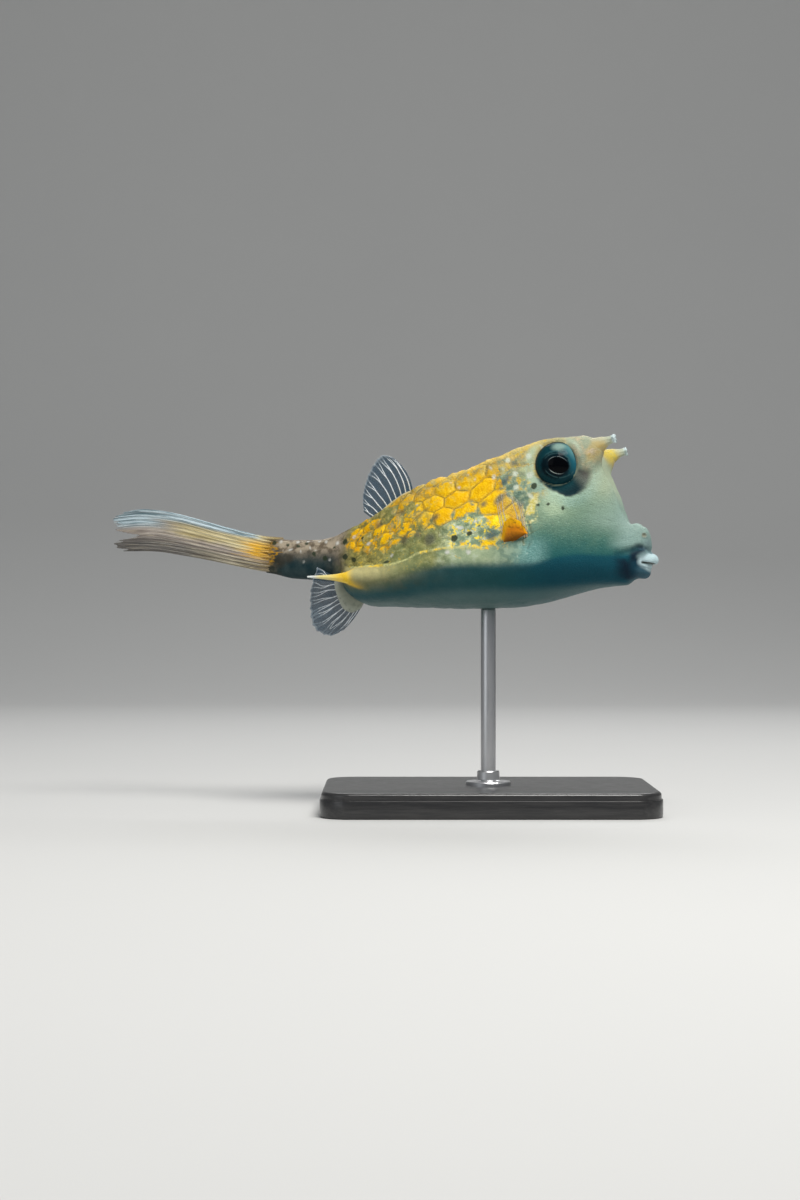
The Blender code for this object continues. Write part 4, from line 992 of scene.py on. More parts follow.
    # painted shadow: near-black blue under the chin, bluish below the mouth
    colour = kit.mix(chin.ease(0.0, 0.9) * (fx + (mid - 0.5) * 4.0).ease(139.0, 145.5) * 0.95, colour, (0.0, 0.010, 0.024))
    colour = kit.mix(chin.ease(0.30, 0.95) * fx.ease(145.0, 148.0) * fz.ease(-5.5, -8.0) * 0.6, colour, (0.006, 0.060, 0.095))
    # yellow root of the keel spine
    colour = kit.mix(spine_d.ease(1.5, 0.1) * (fx + (mid - 0.5) * 5.0).ease(39.5, 34.5) * fx.ease(27.0, 30.0) * 0.95, colour, (0.86, 0.56, 0.035))
    # lips: whitish above, blue-grey below
    lip = lips_d.ease(1.5, 0.2) * fx.ease(147.0, 150.5)
    lip_low = (fz + (fx - 150.0) * 0.50).ease(-9.6, -7.6)
    colour = kit.mix(lip * 0.95, colour, kit.mix(lip_low, (0.035, 0.095, 0.130), (0.52, 0.680, 0.710)))
    # painted shade in the folds behind the mouth's corners and in the groove round the snout above the lips
    colour = kit.mix(lipfold.ease(1.9, 0.2) * 0.58 * (1.0 - lip), colour, (0.006, 0.052, 0.068))
    colour = kit.mix(ring_d.ease(1.4, 0.2) * 0.60, colour, (0.040, 0.085, 0.120))
    bridge = lips_d.ease(2.8, 1.0) * fx.ease(147.5, 149.5) * fz.ease(-6.5, -4.5) * (1.0 - lip)
    colour = kit.mix(bridge * 0.55, colour, (0.30, 0.44, 0.44))
    colour = kit.mix(snout * 0.42 * (1.0 - lip), colour, (0.095, 0.130, 0.170))
    colour = kit.mix(mouth.ease(0.75, 0.15) * fx.ease(150.0, 151.2) * 0.92, colour, (0.045, 0.048, 0.036))
    colour = kit.mix(nostril.ease(1.5, 0.4) * 0.65, colour, (0.235, 0.195, 0.125))
    colour = kit.mix(gill.ease(0.65, 0.12) * 0.55, colour, (0.045, 0.070, 0.065))
    # orbit: dark teal pool under the eye and violet-grey in front, painted shade over the orbit's own dark skin; tan
    # pad, with painted shade on its lower side; painted highlights on the rims
    pool = crescent.ease(0.05, 0.85)
    colour = kit.mix(pool * ea.ease(-2.0, -20.0) * 0.78, colour, (0.112, 0.122, 0.118))
    colour = kit.mix(pool * ea.ease(-26.0, -50.0) * 0.98, colour, kit.mix(er.ease(8.8, 12.6), (0.0, 0.044, 0.056), (0.0, 0.020, 0.028)))
    # painted shade on the pad's lower side
    colour = kit.mix(pad.ease(0.10, 0.7) * fz.ease(30.0, 25.0) * 0.75, colour, (0.150, 0.135, 0.125))
    # painted highlight over the orbit's upper front
    sheen = (1.0 - ((er - 10.6) / 1.5).abs().ease(0.0, 1.0)) * (1.0 - ((ea - 42.0) / 45.0).abs().ease(0.0, 1.0))
    colour = kit.mix(sheen * 0.75, colour, (0.50, 0.60, 0.46))
    # painted highlight along the rim below the eye's dark pool
    rim = (1.0 - ((erim - 1.0) / 1.4).abs().ease(0.0, 1.0)) * er.ease(20.0, 16.0) * ea.ease(0.0, -30.0)
    colour = kit.mix(rim * 0.30 * pores.ease(0.35, 0.6), colour, (0.40, 0.57, 0.49))
    # painted shade in the groove round the eyeball, strongest at its rear
    colour = kit.mix(er.ease(8.9, 8.3) * (0.45 + 0.5 * (ea.abs()).ease(60.0, 130.0)), colour, (0.006, 0.024, 0.028))
    colour = kit.mix(kit.split(kit.field("lemon"))[0].ease(-0.4, 0.8) * (0.75 + 0.25 * small.ease(0.4, 0.5)), colour, kit.mix(small, (0.93, 0.66, 0.004), (0.98, 0.78, 0.02)))
    # smoky blotches and dots
    edge_noise = (small - 0.5) * 1.1
    colour = kit.mix((smoke + edge_noise + (grain - 0.5) * 0.8).ease(1.3, -1.1) * 0.80, colour, kit.mix(fx.ease(60.0, 90.0), kit.mix(fx.ease(12.0, 30.0), (0.030, 0.028, 0.020), (0.10, 0.095, 0.055)), (0.060, 0.100, 0.110)))
    white = kit.mix(fx.ease(86.0, 100.0), (0.60, 0.60, 0.56), (0.62, 0.68, 0.56))
    colour = kit.mix((pale + 0.22 + edge_noise * 1.1).ease(0.55, -0.60) * 0.82, colour, white)
    colour = kit.mix((dark + edge_noise * 0.9).ease(0.30, -0.30) * 0.92, colour, (0.022, 0.034, 0.018))
    # fine speckle over everything
    colour = kit.times(colour, 0.78 + 0.44 * grain)

    rough = 0.44 + 0.18 * small - 0.08 * is_yellow
    pebble = kit.cells(fish, 1.3)
    lines = kit.noise(kit.stretch(fish, (0.55, 1.0, 1.9)), 1.5, 4.0, 0.62, 0.8)
    head_share = fx.ease(104.0, 116.0)
    body_bump = pebble * 0.55 * show + small * 0.6 + grain * 0.3
    head_bump = lines * 1.0 + pores * 1.5 + grain * 0.35
    total = body_bump * (1.0 - head_share) + head_bump * head_share - line * 0.6
    normal = kit.bump(total, 0.65, 0.00045)
    return kit.finish(colour, rough, normal, Coat_Weight=0.02, Coat_Roughness=0.25, Specular_IOR_Level=0.12)


skin_piece = make_piece(
    "skin", skin_points, skin_faces, skin_material(), skin_fields, uv=skin_uv(skin_faces),
    replaces=("head", "trunk", "tail_peduncle", "lip_upper", "lip_lower"),
)


# ---- eyes --------------------------------------------------------------------------------
def eye_material():
    kit = Kit("cowfish_eye")
    dx, dz, depth = kit.split(kit.field("disc"))
    fish = kit.field("fish")
    mid = kit.noise(fish, 0.9, 4.0, 0.6)
    fine = kit.noise(fish, 3.2, 3.0, 0.6)
    px, pz = (dx - 1.35), (dz + 1.15)
    lean = px * 0.10 + pz
    pupil = ((px / 3.95) * (px / 3.95) + (lean / 3.10) * (lean / 3.10) * (1.0 + px.ease(0.5, 4.2) * 0.22)).power(0.5)
    r = (dx * dx + dz * dz).power(0.5)
    iris_r = ((dx - 0.1) * (dx - 0.1) + (dz + 0.8) * (dz + 0.8) * 1.15).power(0.5) + (mid - 0.5) * 1.2
    outer = kit.mix(mid, (0.002, 0.020, 0.028), (0.006, 0.046, 0.058))
    # painted reflection: the outer eye turns teal and paler towards its upper front; the glint is a painted highlight
    # near its top
    outer = kit.mix((dx * 0.95 + dz * 0.25).ease(3.2, 8.4) * 0.85, outer, (0.020, 0.130, 0.180))
    outer = kit.mix((dx * 0.75 + dz * 0.75).ease(5.2, 8.4) * 0.75, outer, (0.105, 0.250, 0.255))
    glint = ((dx - 1.0) * (dx - 1.0) * 0.075 + (dz - 6.4) * (dz - 6.4) * 0.16).power(0.5)
    outer = kit.mix(glint.ease(1.1, 0.2) * (0.75 + 0.5 * (mid - 0.5)), outer, (0.26, 0.38, 0.33))
    outer = kit.mix(r.ease(7.5, 8.6) * (0.90 - 0.75 * dx.ease(1.0, 6.5)), outer, (0.002, 0.012, 0.016))
    iris = kit.mix(fine, (0.001, 0.005, 0.008), (0.003, 0.014, 0.020))
    iris = kit.mix((dz - dx * 0.4).ease(2.4, 5.8) * 0.5, iris, (0.016, 0.055, 0.062))
    colour = kit.mix(iris_r.ease(6.3, 5.0), outer, iris)
    rim = (1.0 - ((iris_r - 5.6) / 0.7).abs().ease(0.0, 1.0)) * (dz + dx * 0.5).ease(-1.0, 3.0)
    colour = kit.mix(rim * 0.35, colour, (0.05, 0.14, 0.155))
    colour = kit.mix(pupil.ease(1.03, 0.97), colour, (0.0008, 0.0012, 0.002))
    ring = (1.0 - ((pupil - 1.07) / 0.055).abs().ease(0.0, 1.0)) * (pz.ease(1.2, 2.8) * 0.30 + pz.ease(-1.0, -2.4) * px.ease(2.6, -1.4)) * mid.ease(0.30, 0.46)
    colour = kit.mix(ring, colour, (0.52, 0.60, 0.57))
    faint = (1.0 - ((pupil - 1.5) / 0.13).abs().ease(0.0, 1.0)) * (pz.ease(-1.0, -3.0) * 0.55 + pz.ease(1.8, 3.6) * 0.35) * mid.ease(0.3, 0.5)
    colour = kit.mix(faint, colour, (0.045, 0.115, 0.125))
    return kit.finish(colour, 0.16 + 0.06 * fine, None, Coat_Weight=0.16, Coat_Roughness=0.05, Coat_IOR=1.28, Specular_IOR_Level=0.02)


eye_mat = eye_material()
for sign, word in ((-1, "right"), (1, "left")):
    rows, around = 44, 72
    a = np.linspace(0, math.pi, rows + 2)[1:-1]
    t = np.linspace(0, 2 * math.pi, around, endpoint=False)
    r = EYE_RADIUS * np.sin(a)
    bulge = 0.25 * np.exp(-((a / 0.42) ** 2))  # the cornea stands a little proud
    P_eye = np.stack([
        EYE_CENTRE[0] + r[:, None] * np.cos(t),
        sign * (EYE_CENTRE[1] + (EYE_DEPTH * np.cos(a) + bulge)[:, None] * np.ones(around)),
        EYE_CENTRE[2] + r[:, None] * np.sin(t),
    ], -1).reshape(-1, 3)
    poles = np.array([
        (EYE_CENTRE[0], sign * (EYE_CENTRE[1] + EYE_DEPTH + 0.25), EYE_CENTRE[2]),
        (EYE_CENTRE[0], sign * (EYE_CENTRE[1] - EYE_DEPTH), EYE_CENTRE[2]),
    ])
    pts = np.concatenate([P_eye, poles])
    faces = loop_faces(rows, around, 0, len(P_eye), len(P_eye) + 1, flip=sign > 0)
    disc = np.stack([pts[:, 0] - EYE_CENTRE[0], pts[:, 2] - EYE_CENTRE[2], np.abs(pts[:, 1])], 1)
    make_piece("eyeball_" + word, pts, faces, eye_mat, {"disc": disc}, replaces=("eye_" + word,))


# ---- horns and spines ------------------------------------------------------------------------
def horn_material():
    kit = Kit("cowfish_horn")
    fish = kit.field("fish")
    along, around, _ = kit.split(kit.field("stem"))
    mid = kit.noise(fish, 0.5, 4.0, 0.6)
    fine = kit.noise(kit.stretch(fish, (0.7, 2.0, 2.0)), 2.2, 4.0, 0.6)
    base = kit.mix(kit.noise(fish, 0.3, 3.0, 0.5).ease(0.36, 0.62), (0.50, 0.355, 0.105), (0.43, 0.355, 0.165))
    base = kit.mix((kit.split(fish)[2] - along * 3.0 + (mid - 0.5) * 2.0).ease(36.6, 38.2) * 0.8, base, (0.42, 0.425, 0.30))
    inner = around.ease(0.55, 0.85)
    base = kit.mix(inner * along.ease(0.85, 0.45) * 0.9, base, kit.mix(mid.ease(0.4, 0.6), (0.60, 0.455, 0.045), (0.50, 0.43, 0.11)))
    colour = kit.mix(along.ease(0.52, 0.84), base, (0.42, 0.46, 0.35))
    colour = kit.mix(along.ease(0.84, 0.95), colour, (0.55, 0.66, 0.67))
    colour = kit.times(colour, 0.78 + 0.44 * kit.noise(fish, 2.6, 3.0, 0.65))
    normal = kit.bump(fine + mid * 0.5, 0.5, 0.0003)
    return kit.finish(colour, 0.42 + 0.2 * fine, normal, Coat_Weight=0.03, Coat_Roughness=0.25, Specular_IOR_Level=0.20)


def spine_material():
    kit = Kit("cowfish_spine")
    fish = kit.field("fish")
    along, around, _ = kit.split(kit.field("stem"))
    mid = kit.noise(fish, 0.6, 4.0, 0.6)
    fine = kit.noise(kit.stretch(fish, (0.4, 2.0, 2.0)), 2.4, 4.0, 0.6)
    colour = kit.mix(mid.ease(0.3, 0.7), (0.86, 0.55, 0.035), (0.90, 0.62, 0.07))
    colour = kit.mix(along.ease(0.50, 0.80), colour, (0.80, 0.68, 0.27))
    colour = kit.mix(along.ease(0.82, 0.94), colour, (0.76, 0.80, 0.78))
    colour = kit.times(colour, 0.88 + 0.24 * fine)
    normal = kit.bump(fine, 0.45, 0.0003)
    return kit.finish(colour, 0.4 + 0.15 * fine, normal, Coat_Weight=0.15, Coat_Roughness=0.3)


def stem(name, path, radii, sign, mat, node, steps, around, shape, tip_out, t0):
    path = path if sign > 0 else mirrored(path)
    G, t, a = tube_grid(path, radii, steps, around, shape, t0=t0)
    pts = G.reshape(-1, 3)
    tangent = (curve_points(path, [1.0]) - curve_points(path, [0.98]))[0]
    tangent /= np.linalg.norm(tangent)
    poles = np.array([G[0].mean(0), G[-1].mean(0) + tangent * tip_out])
    pts = np.concatenate([pts, poles])
    outwards = G - G.mean(1, keepdims=True)
    outwards /= np.linalg.norm(outwards, axis=2, keepdims=True)
    inward = (0.5 - 0.5 * sign * outwards[..., 1]).reshape(-1)  # 1 on the side towards the fish's middle
    field = np.stack([np.repeat(t, around), inward, np.zeros(steps * around)], 1)
    field = np.concatenate([field, [[0, 0, 0], [1, 0.5, 0]]])
    faces = loop_faces(steps, around, 0, len(pts) - 2, len(pts) - 1)
    return make_piece(name, pts, faces, mat, {"stem": field}, replaces=(node,))


def horn_shape(t, a):
    ragged = ease(0.86, 1.0, t) * (0.22 * np.sin(3 * a + 1.0) + 0.14 * np.sin(5 * a + 2.1) + 0.10 * np.sin(8 * a))
    lumps = 0.04 * np.sin(7 * a + 9 * t) * ease(0.3, 0.9, t)
    return 1 + ragged + lumps + 0.16 * ease(0.88, 1.0, t)


def spine_shape(t, a):
    return 1 + 0.05 * np.sin(6 * a) * ease(0.0, 0.6, t)


horn_mat, spine_mat = horn_material(), spine_material()
for sign, word in ((-1, "right"), (1, "left")):
    stem("brow_horn_" + word, HORN_PATH, HORN_RADII, sign, horn_mat, "horn_" + word, 60, 48, horn_shape, -0.4, 0.36)
    stem("keel_spine_" + word, SPINE_PATH, SPINE_RADII, sign, spine_mat, "spine_" + word, 60, 32, spine_shape, 0.25, 0.30)


# ---- fins ---------------------------------------------------------------------------------------
def web_material(name, tint, edge_tint, clear, beside=0.10, brink=0.20):
    """Clear skin between the rays; `veil` holds t, s and the distance to the nearest ray."""
    kit = Kit(name)
    fish = kit.field("fish")
    t, s, near = kit.split(kit.field("veil"))
    mid = kit.noise(fish, 0.35, 4.0, 0.6)
    fine = kit.noise(fish, 1.8, 3.0, 0.6)
    colour = kit.mix(mid, tint, edge_tint)
    colour = kit.mix(s.ease(0.95, 1.0) * 0.45, colour, (0.60, 0.66, 0.70))
    colour = kit.mix(near.ease(0.6, 0.2) * 0.25, colour, (0.45, 0.50, 0.52))
    alpha = clear + near.ease(0.6, 0.1) * beside + s.ease(0.35, 0.0) * 0.30 + (mid - 0.5) * 0.16 + s.ease(0.93, 1.0) * brink
    normal = kit.bump(fine * 0.6 + near.ease(1.2, 0.0), 0.35, 0.0003)
    return kit.finish(colour, 0.26 + 0.12 * fine, normal, alpha.clamp(), Coat_Weight=0.3, Coat_Roughness=0.1)


def ray_material(name, root_rgb, tip_rgb, dark_rgb):
    kit = Kit(name)
    fish = kit.field("fish")
    t, s, _ = kit.split(kit.field("veil"))
    fine = kit.noise(fish, 1.6, 3.0, 0.6)
    joints = (s * 190.0).sin().ease(0.2, 1.0)
    colour = kit.mix(s.ease(0.0, 0.5), root_rgb, tip_rgb)
    colour = kit.mix(joints * 0.25, colour, dark_rgb)
    colour = kit.times(colour, 0.85 + 0.3 * fine)
    normal = kit.bump(joints * -0.4 + fine * 0.5, 0.4, 0.0002)
    return kit.finish(colour, 0.38 + 0.2 * fine, normal, Coat_Weight=0.1, Coat_Roughness=0.3)


def web_and_rays(name, surface, rays, forks, radii, web_mat, ray_mat, node, thick, columns=10, steps=44, s0=0.0, edge=0.02, ripple=0.0, gain=1.0, wander=0.0):
    """A fin's clear web and its branching rays, both laid on surface(t, s, h) in the fish frame.

    forks are the places along a ray where it splits; radii the ray's half thickness at root,
    each fork and the tip.
    """
    middles = (np.arange(rays) + 0.5) / rays
    half_pitch = 0.5 / rays
    # strands: (t offset at the tip, level)
    def offset(s, signs):
        out = np.zeros_like(s)
        for level, (fork, sign) in enumerate(zip(forks, signs)):
            out = out + sign * half_pitch * (0.5 / 2**level) * np.maximum(0, (s - fork) / (1 - fork)) ** 0.9 * 1.05
        return out

    combos = [[]]
    for _ in forks:
        combos = [c + [k] for c in combos for k in (-1, 1)]
    # web
    n = columns * rays + 1
    t = np.linspace(0, 1, n)
    s = np.linspace(s0, 1, steps)
    T, S = np.meshgrid(t, s, indexing="ij")
    dip = edge * (0.5 - 0.5 * np.cos(2 * math.pi * rays * T)) + 0.5 * edge * (0.5 - 0.5 * np.cos(4 * math.pi * rays * T + 1.0))
    S_cut = s0 + (S - s0) * (1 - dip)
    wave = ripple * np.cos(2 * math.pi * rays * T) * ease(0.0, 0.4, S)
    drift = lambda sv, m_i: wander * (np.sin(4.2 * sv + 2.3 * m_i) + 0.45 * np.sin(13.0 * sv + 1.7 * m_i)) * sv
    strand_t = np.stack([m + offset(S_cut, c) + drift(S_cut, k) for k, m in enumerate(middles) for c in combos], -1)
    width = np.linalg.norm(np.diff(surface(T, S_cut, 0 * T), axis=0), axis=2)
    across_mm = np.concatenate([width, width[-1:]], 0) * (n - 1)
    near = np.abs(strand_t - T[..., None]).min(-1) * across_mm
    h = thick * (1 + 0.6 * ease(0.35, 0.0, S))
    top, bottom = surface(T, S_cut, wave + h), surface(T, S_cut, wave - h)
    pts = np.concatenate([top.reshape(-1, 3), bottom.reshape(-1, 3)])
    at = lambda i, j, k: k * n * steps + i * steps + j
    faces = []
    i, j = np.meshgrid(np.arange(n - 1), np.arange(steps - 1), indexing="ij")
    i, j = i.ravel(), j.ravel()
    faces += list(np.stack([at(i, j, 0), at(i + 1, j, 0), at(i + 1, j + 1, 0), at(i, j + 1, 0)], 1))
    faces += list(np.stack([at(i, j, 1), at(i, j + 1, 1), at(i + 1, j + 1, 1), at(i + 1, j, 1)], 1))
    border = [(i, 0) for i in range(n)] + [(n - 1, j) for j in range(1, steps)] + [(i, steps - 1) for i in range(n - 2, -1, -1)] + [(0, j) for j in range(steps - 2, 0, -1)]
    for p, q in zip(border, border[1:] + border[:1]):
        faces.append(np.array([at(*p, 1), at(*q, 1), at(*q, 0), at(*p, 0)]))
    veil = np.stack([T, S, near], -1).reshape(-1, 3)
    make_piece(name + "_web", pts, faces, web_mat, {"veil": np.concatenate([veil, veil])}, replaces=(node,))
    # rays
    all_pts, all_faces, all_veil = [], [], []
    count = 0
    sides = 8
    ang = np.linspace(0, 2 * math.pi, sides, endpoint=False)
    stops = [s0, *forks, 1.0]
    done = set()
    for m_i, m in enumerate(middles):
        for c in combos:
            for level in range(len(stops) - 1):
                key = (m_i, tuple(c[:level]), level)
                if key in done:
                    continue
                done.add(key)
                lo, hi = stops[level], stops[level + 1]
                length_steps = max(5, int((hi - lo) * 44))
                sv = np.linspace(max(s0, lo - 0.015), min(1.0, hi + 0.012 if level < len(stops) - 2 else hi), length_steps)
                tv = m + offset(sv, c[:level] + [0] * (len(forks) - level)) + drift(sv, m_i)
                dipv = edge * (0.5 - 0.5 * np.cos(2 * math.pi * rays * tv)) * 0.6
                sc = s0 + (sv - s0) * (1 - dipv)
                wv = ripple * np.cos(2 * math.pi * rays * tv) * ease(0.0, 0.4, sv)
                c0 = surface(tv, sc, wv)
                d = np.gradient(c0, axis=0)
                d /= np.maximum(np.linalg.norm(d, axis=1, keepdims=True), 1e-9)
                up = surface(tv, sc, wv + 0.5) - c0
                up -= (up * d).sum(1, keepdims=True) * d
                up /= np.maximum(np.linalg.norm(up, axis=1, keepdims=True), 1e-9)
                sidev = np.cross(d, up)
                f = (sv - lo) / (hi - lo)
                rad = radii[level] + (radii[level + 1] - radii[level]) * np.clip(f, 0, 1)
                rad = rad * (1 + 0.08 * np.sin(sv * 190.0)) * gain
                ring = c0[:, None] + rad[:, None, None] * (sidev[:, None] * np.cos(ang)[None, :, None] + up[:, None] * np.sin(ang)[None, :, None] * 1.15)
                k = len(sv)
                all_pts += [ring.reshape(-1, 3), c0[[0, -1]] + d[[0, -1]] * np.array([[-0.05], [0.12]])]
                all_faces += loop_faces(k, sides, count, count + k * sides, count + k * sides + 1)
                v = np.stack([np.repeat(tv, sides), np.repeat(sv, sides), np.zeros(k * sides)], 1)
                all_veil += [v, [[tv[0], sv[0], 0], [tv[-1], sv[-1], 0]]]
                count += k * sides + 2
    make_piece(name + "_rays", np.concatenate(all_pts), all_faces, ray_mat, {"veil": np.concatenate(all_veil)})


def fan_surface(front, rear, tips, place, bow):
    front, rear = np.array(front, float), np.array(rear, float)

    def surface(t, s, h):
        t, s, h = np.broadcast_arrays(np.asarray(t, float), np.asarray(s, float), np.asarray(h, float))
        tt, ss, hh = t.ravel(), s.ravel(), h.ravel()
        foot = front + (rear - front) * np.clip(tt, 0, 1)[:, None]
        tip = curve_points(tips, tt)
        span = tip - foot
        bulge = np.stack([-span[:, 1], span[:, 0]], 1) * (bow * (1 - tt))[:, None]
        p = foot + span * ss[:, None] + bulge * (4 * ss * (1 - ss))[:, None]
        return place(p[:, 0], p[:, 1], tt, ss, hh).reshape(*t.shape, 3)

    return surface


def gathered(surface):
    """The same fan with its rays drawn together at both edges, as when the fin is half folded."""

    def folded_surface(t, s, h):
        u = 2 * np.asarray(t, float) - 1
        return surface(0.5 + 0.5 * np.sign(u) * np.abs(u) ** 0.5, s, h)

    return folded_surface


def upright(a, b, t, s, h):
    return np.stack([a, h, b], 1)


def folded(a, b, t, s, h):
    swing = np.clip((t - 0.6) / 0.4, 0, 1)
    return np.stack([a, h - 7.8 * swing * swing * (3 - 2 * swing), b], 1)


PECTORAL_FOOT = np.array((103.6, 19.2, 0.6))
PECTORAL_ALONG = np.array((9.9, 0.0, 3.7)) / math.hypot(9.9, 3.7)
PECTORAL_OUT = np.array((-1.2, 8.4, 14.0)) / np.linalg.norm((-1.2, 8.4, 14.0))
PECTORAL_ACROSS = np.cross(PECTORAL_ALONG, PECTORAL_OUT)
PECTORAL_ACROSS /= np.linalg.norm(PECTORAL_ACROSS)
PECTORAL_TWIST = 0.62


def pectoral_place(sign):
    def place(a, b, t, s, h):
        turn = (PECTORAL_TWIST * s)[:, None]
        sideways = PECTORAL_ALONG * np.cos(turn) - PECTORAL_ACROSS * np.sin(turn)
        through = PECTORAL_ACROSS * np.cos(turn) + PECTORAL_ALONG * np.sin(turn)
        p = PECTORAL_FOOT + sideways * a[:, None] + PECTORAL_OUT * b[:, None]
        p = p + through * (h - 1.2 * s * np.sin(math.pi * t))[:, None]
        return p * np.array((1.0, sign, 1.0))

    return place


DORSAL = fan_surface((57.5, 20.8), (41.5, 11.0), ((48.4, 36.6), (43.6, 37.2), (39.2, 31.0), (36.6, 22.0), (37.0, 14.4)), upright, -0.12)
ANAL = fan_surface(
    (38.6, -20.6), (31.6, -14.6), ((29.8, -33.6), (24.0, -36.0), (17.6, -33.0), (15.6, -26.0), (16.6, -18.6), (20.4, -8.8)), folded, 0.06
)
PECTORAL_TIPS = ((5.6, 14.4), (3.2, 18.6), (-0.6, 20.4), (-4.2, 19.4), (-6.6, 16.0))
clear_web = web_material("fin_clear_web", (0.008, 0.038, 0.070), (0.030, 0.080, 0.125), 0.62)
film_web = web_material("fin_film_web", (0.34, 0.29, 0.20), (0.46, 0.41, 0.34), 0.16, 0.26, 0.0)
pale_ray = ray_material("fin_pale_ray", (0.60, 0.59, 0.50), (0.86, 0.89, 0.92), (0.50, 0.52, 0.50))
pink_ray = ray_material("fin_pink_ray", (0.66, 0.44, 0.14), (0.80, 0.74, 0.62), (0.62, 0.52, 0.36))
web_and_rays("dorsal_fin", DORSAL, 9, (0.62,), (0.29, 0.20, 0.08), clear_web, pale_ray, "dorsal_fin", 0.10, edge=0.012, wander=0.012, gain=0.86)
web_and_rays("anal_fin", ANAL, 11, (0.50,), (0.25, 0.18, 0.07), clear_web, pale_ray, "anal_fin", 0.10, edge=0.022, wander=0.026, gain=0.90)
for sign, word in ((-1, "right"), (1, "left")):
    fan_side = gathered(fan_surface((4.9, -1.6), (-5.0, -1.6), PECTORAL_TIPS, pectoral_place(sign), 0.0))
    web_and_rays(
        "pectoral_fin_" + word, fan_side, 6, (), (0.21, 0.06), film_web, pink_ray,
        "pectoral_fin_" + word, 0.08, steps=36, edge=0.05, wander=0.03,
    )


def fleshy_lobe(name, surface, s_end, thick, mat, seed, round_by=0.35, columns=60, steps=34, lift=0.0, lean=0.0, foot=1.0):
    """The fleshy root of a fin: a thick pad whose outer edge is rounded and thins into the web."""
    t = np.linspace(0, 1, columns)
    s = np.linspace(0, 1, steps)
    T, S = np.meshgrid(t, s, indexing="ij")
    jag = value_noise(np.stack([T * 6.0, 0 * T, 0 * T], -1).reshape(-1, 3), 1.0, seed + 30).reshape(T.shape)
    reach = s_end * (1 - round_by * np.abs(2 * T - 1) ** 2.6 + lean * (T - 0.5) + 0.05 * jag)
    S_at = lift * (1 - T) ** 1.5 * (1 - S) + S * reach
    body = np.sqrt(np.clip(1 - S**2.2, 0, 1)) * (1 - 0.55 * np.abs(2 * T - 1) ** 4) * (foot + (1 - foot) * ease(0.0, 0.4, S))
    noise = value_noise(np.stack([T * 9, S * 7, 0 * T], -1).reshape(-1, 3), 1.0, seed).reshape(T.shape)
    h = thick * body * (1 + 0.06 * noise) + 0.14
    ribs = 1 + 0.05 * np.cos(2 * math.pi * 9 * T) * ease(0.35, 0.9, S)
    top, bottom = surface(T, S_at, h * ribs), surface(T, S_at, -h * ribs)
    pts = np.concatenate([top.reshape(-1, 3), bottom.reshape(-1, 3)])
    at = lambda i, j, k: k * columns * steps + i * steps + j
    i, j = np.meshgrid(np.arange(columns - 1), np.arange(steps - 1), indexing="ij")
    i, j = i.ravel(), j.ravel()
    faces = list(np.stack([at(i, j, 0), at(i + 1, j, 0), at(i + 1, j + 1, 0), at(i, j + 1, 0)], 1))
    faces += list(np.stack([at(i, j, 1), at(i, j + 1, 1), at(i + 1, j + 1, 1), at(i + 1, j, 1)], 1))
    border = [(i, 0) for i in range(columns)] + [(columns - 1, j) for j in range(1, steps)] + [(i, steps - 1) for i in range(columns - 2, -1, -1)] + [(0, j) for j in range(steps - 2, 0, -1)]
    for p, q in zip(border, border[1:] + border[:1]):
        faces.append(np.array([at(*p, 1), at(*q, 1), at(*q, 0), at(*p, 0)]))
    veil = np.stack([T, S, 0 * T], -1).reshape(-1, 3)
    return make_piece(name, pts, faces, mat, {"veil": np.concatenate([veil, veil])})


def lobe_material(name, core, rim, deep, speck):
    kit = Kit(name)
    fish = kit.field("fish")
    t, s, _ = kit.split(kit.field("veil"))
    mid = kit.noise(fish, 0.5, 4.0, 0.6)
    fine = kit.noise(fish, 2.2, 3.0, 0.6)
    colour = kit.mix(s.ease(0.55, 1.0), core, rim)
    colour = kit.mix(mid.ease(0.5, 0.7) * 0.6, colour, deep)
    colour = kit.mix((s + (t - 0.5) * -0.55 + (mid - 0.5) * 0.4).ease(0.60, 0.10) * 0.85, colour, deep)
    colour = kit.mix((t + (mid - 0.5) * 0.5).ease(0.62, 0.95) * s.ease(0.35, 0.75) * 0.7, colour, rim)
    colour = kit.mix(fine.ease(0.62, 0.72) * 0.35, colour, speck)
    normal = kit.bump(fine + mid * 0.6, 0.5, 0.0003)
    return kit.finish(colour, 0.32 + 0.2 * fine, normal, Coat_Weight=0.10, Coat_Roughness=0.15, Specular_IOR_Level=0.15)


orange = lobe_material("pectoral_lobe", (0.82, 0.270, 0.000), (0.96, 0.50, 0.000), (0.110, 0.038, 0.002), (0.86, 0.42, 0.02))
flesh = lobe_material("anal_lobe", (0.27, 0.29, 0.225), (0.40, 0.42, 0.35), (0.15, 0.175, 0.145), (0.44, 0.46, 0.38))
for sign, word in ((-1, "right"), (1, "left")):
    fan_side = fan_surface((4.9, -1.6), (-5.0, -1.6), PECTORAL_TIPS, pectoral_place(sign), 0.0)
    fleshy_lobe("pectoral_lobe_" + word, fan_side, 0.50, 1.55, orange, 11, 0.62, lift=0.16, lean=0.22, foot=0.35)
fleshy_lobe("anal_lobe", ANAL, 0.40, 2.15, flesh, 12, 0.18)
dorsal_flesh = lobe_material("dorsal_lobe", (0.62, 0.42, 0.06), (0.50, 0.46, 0.30), (0.34, 0.24, 0.06), (0.74, 0.62, 0.30))
fleshy_lobe("dorsal_lobe", DORSAL, 0.14, 0.95, dorsal_flesh, 13, 0.2)

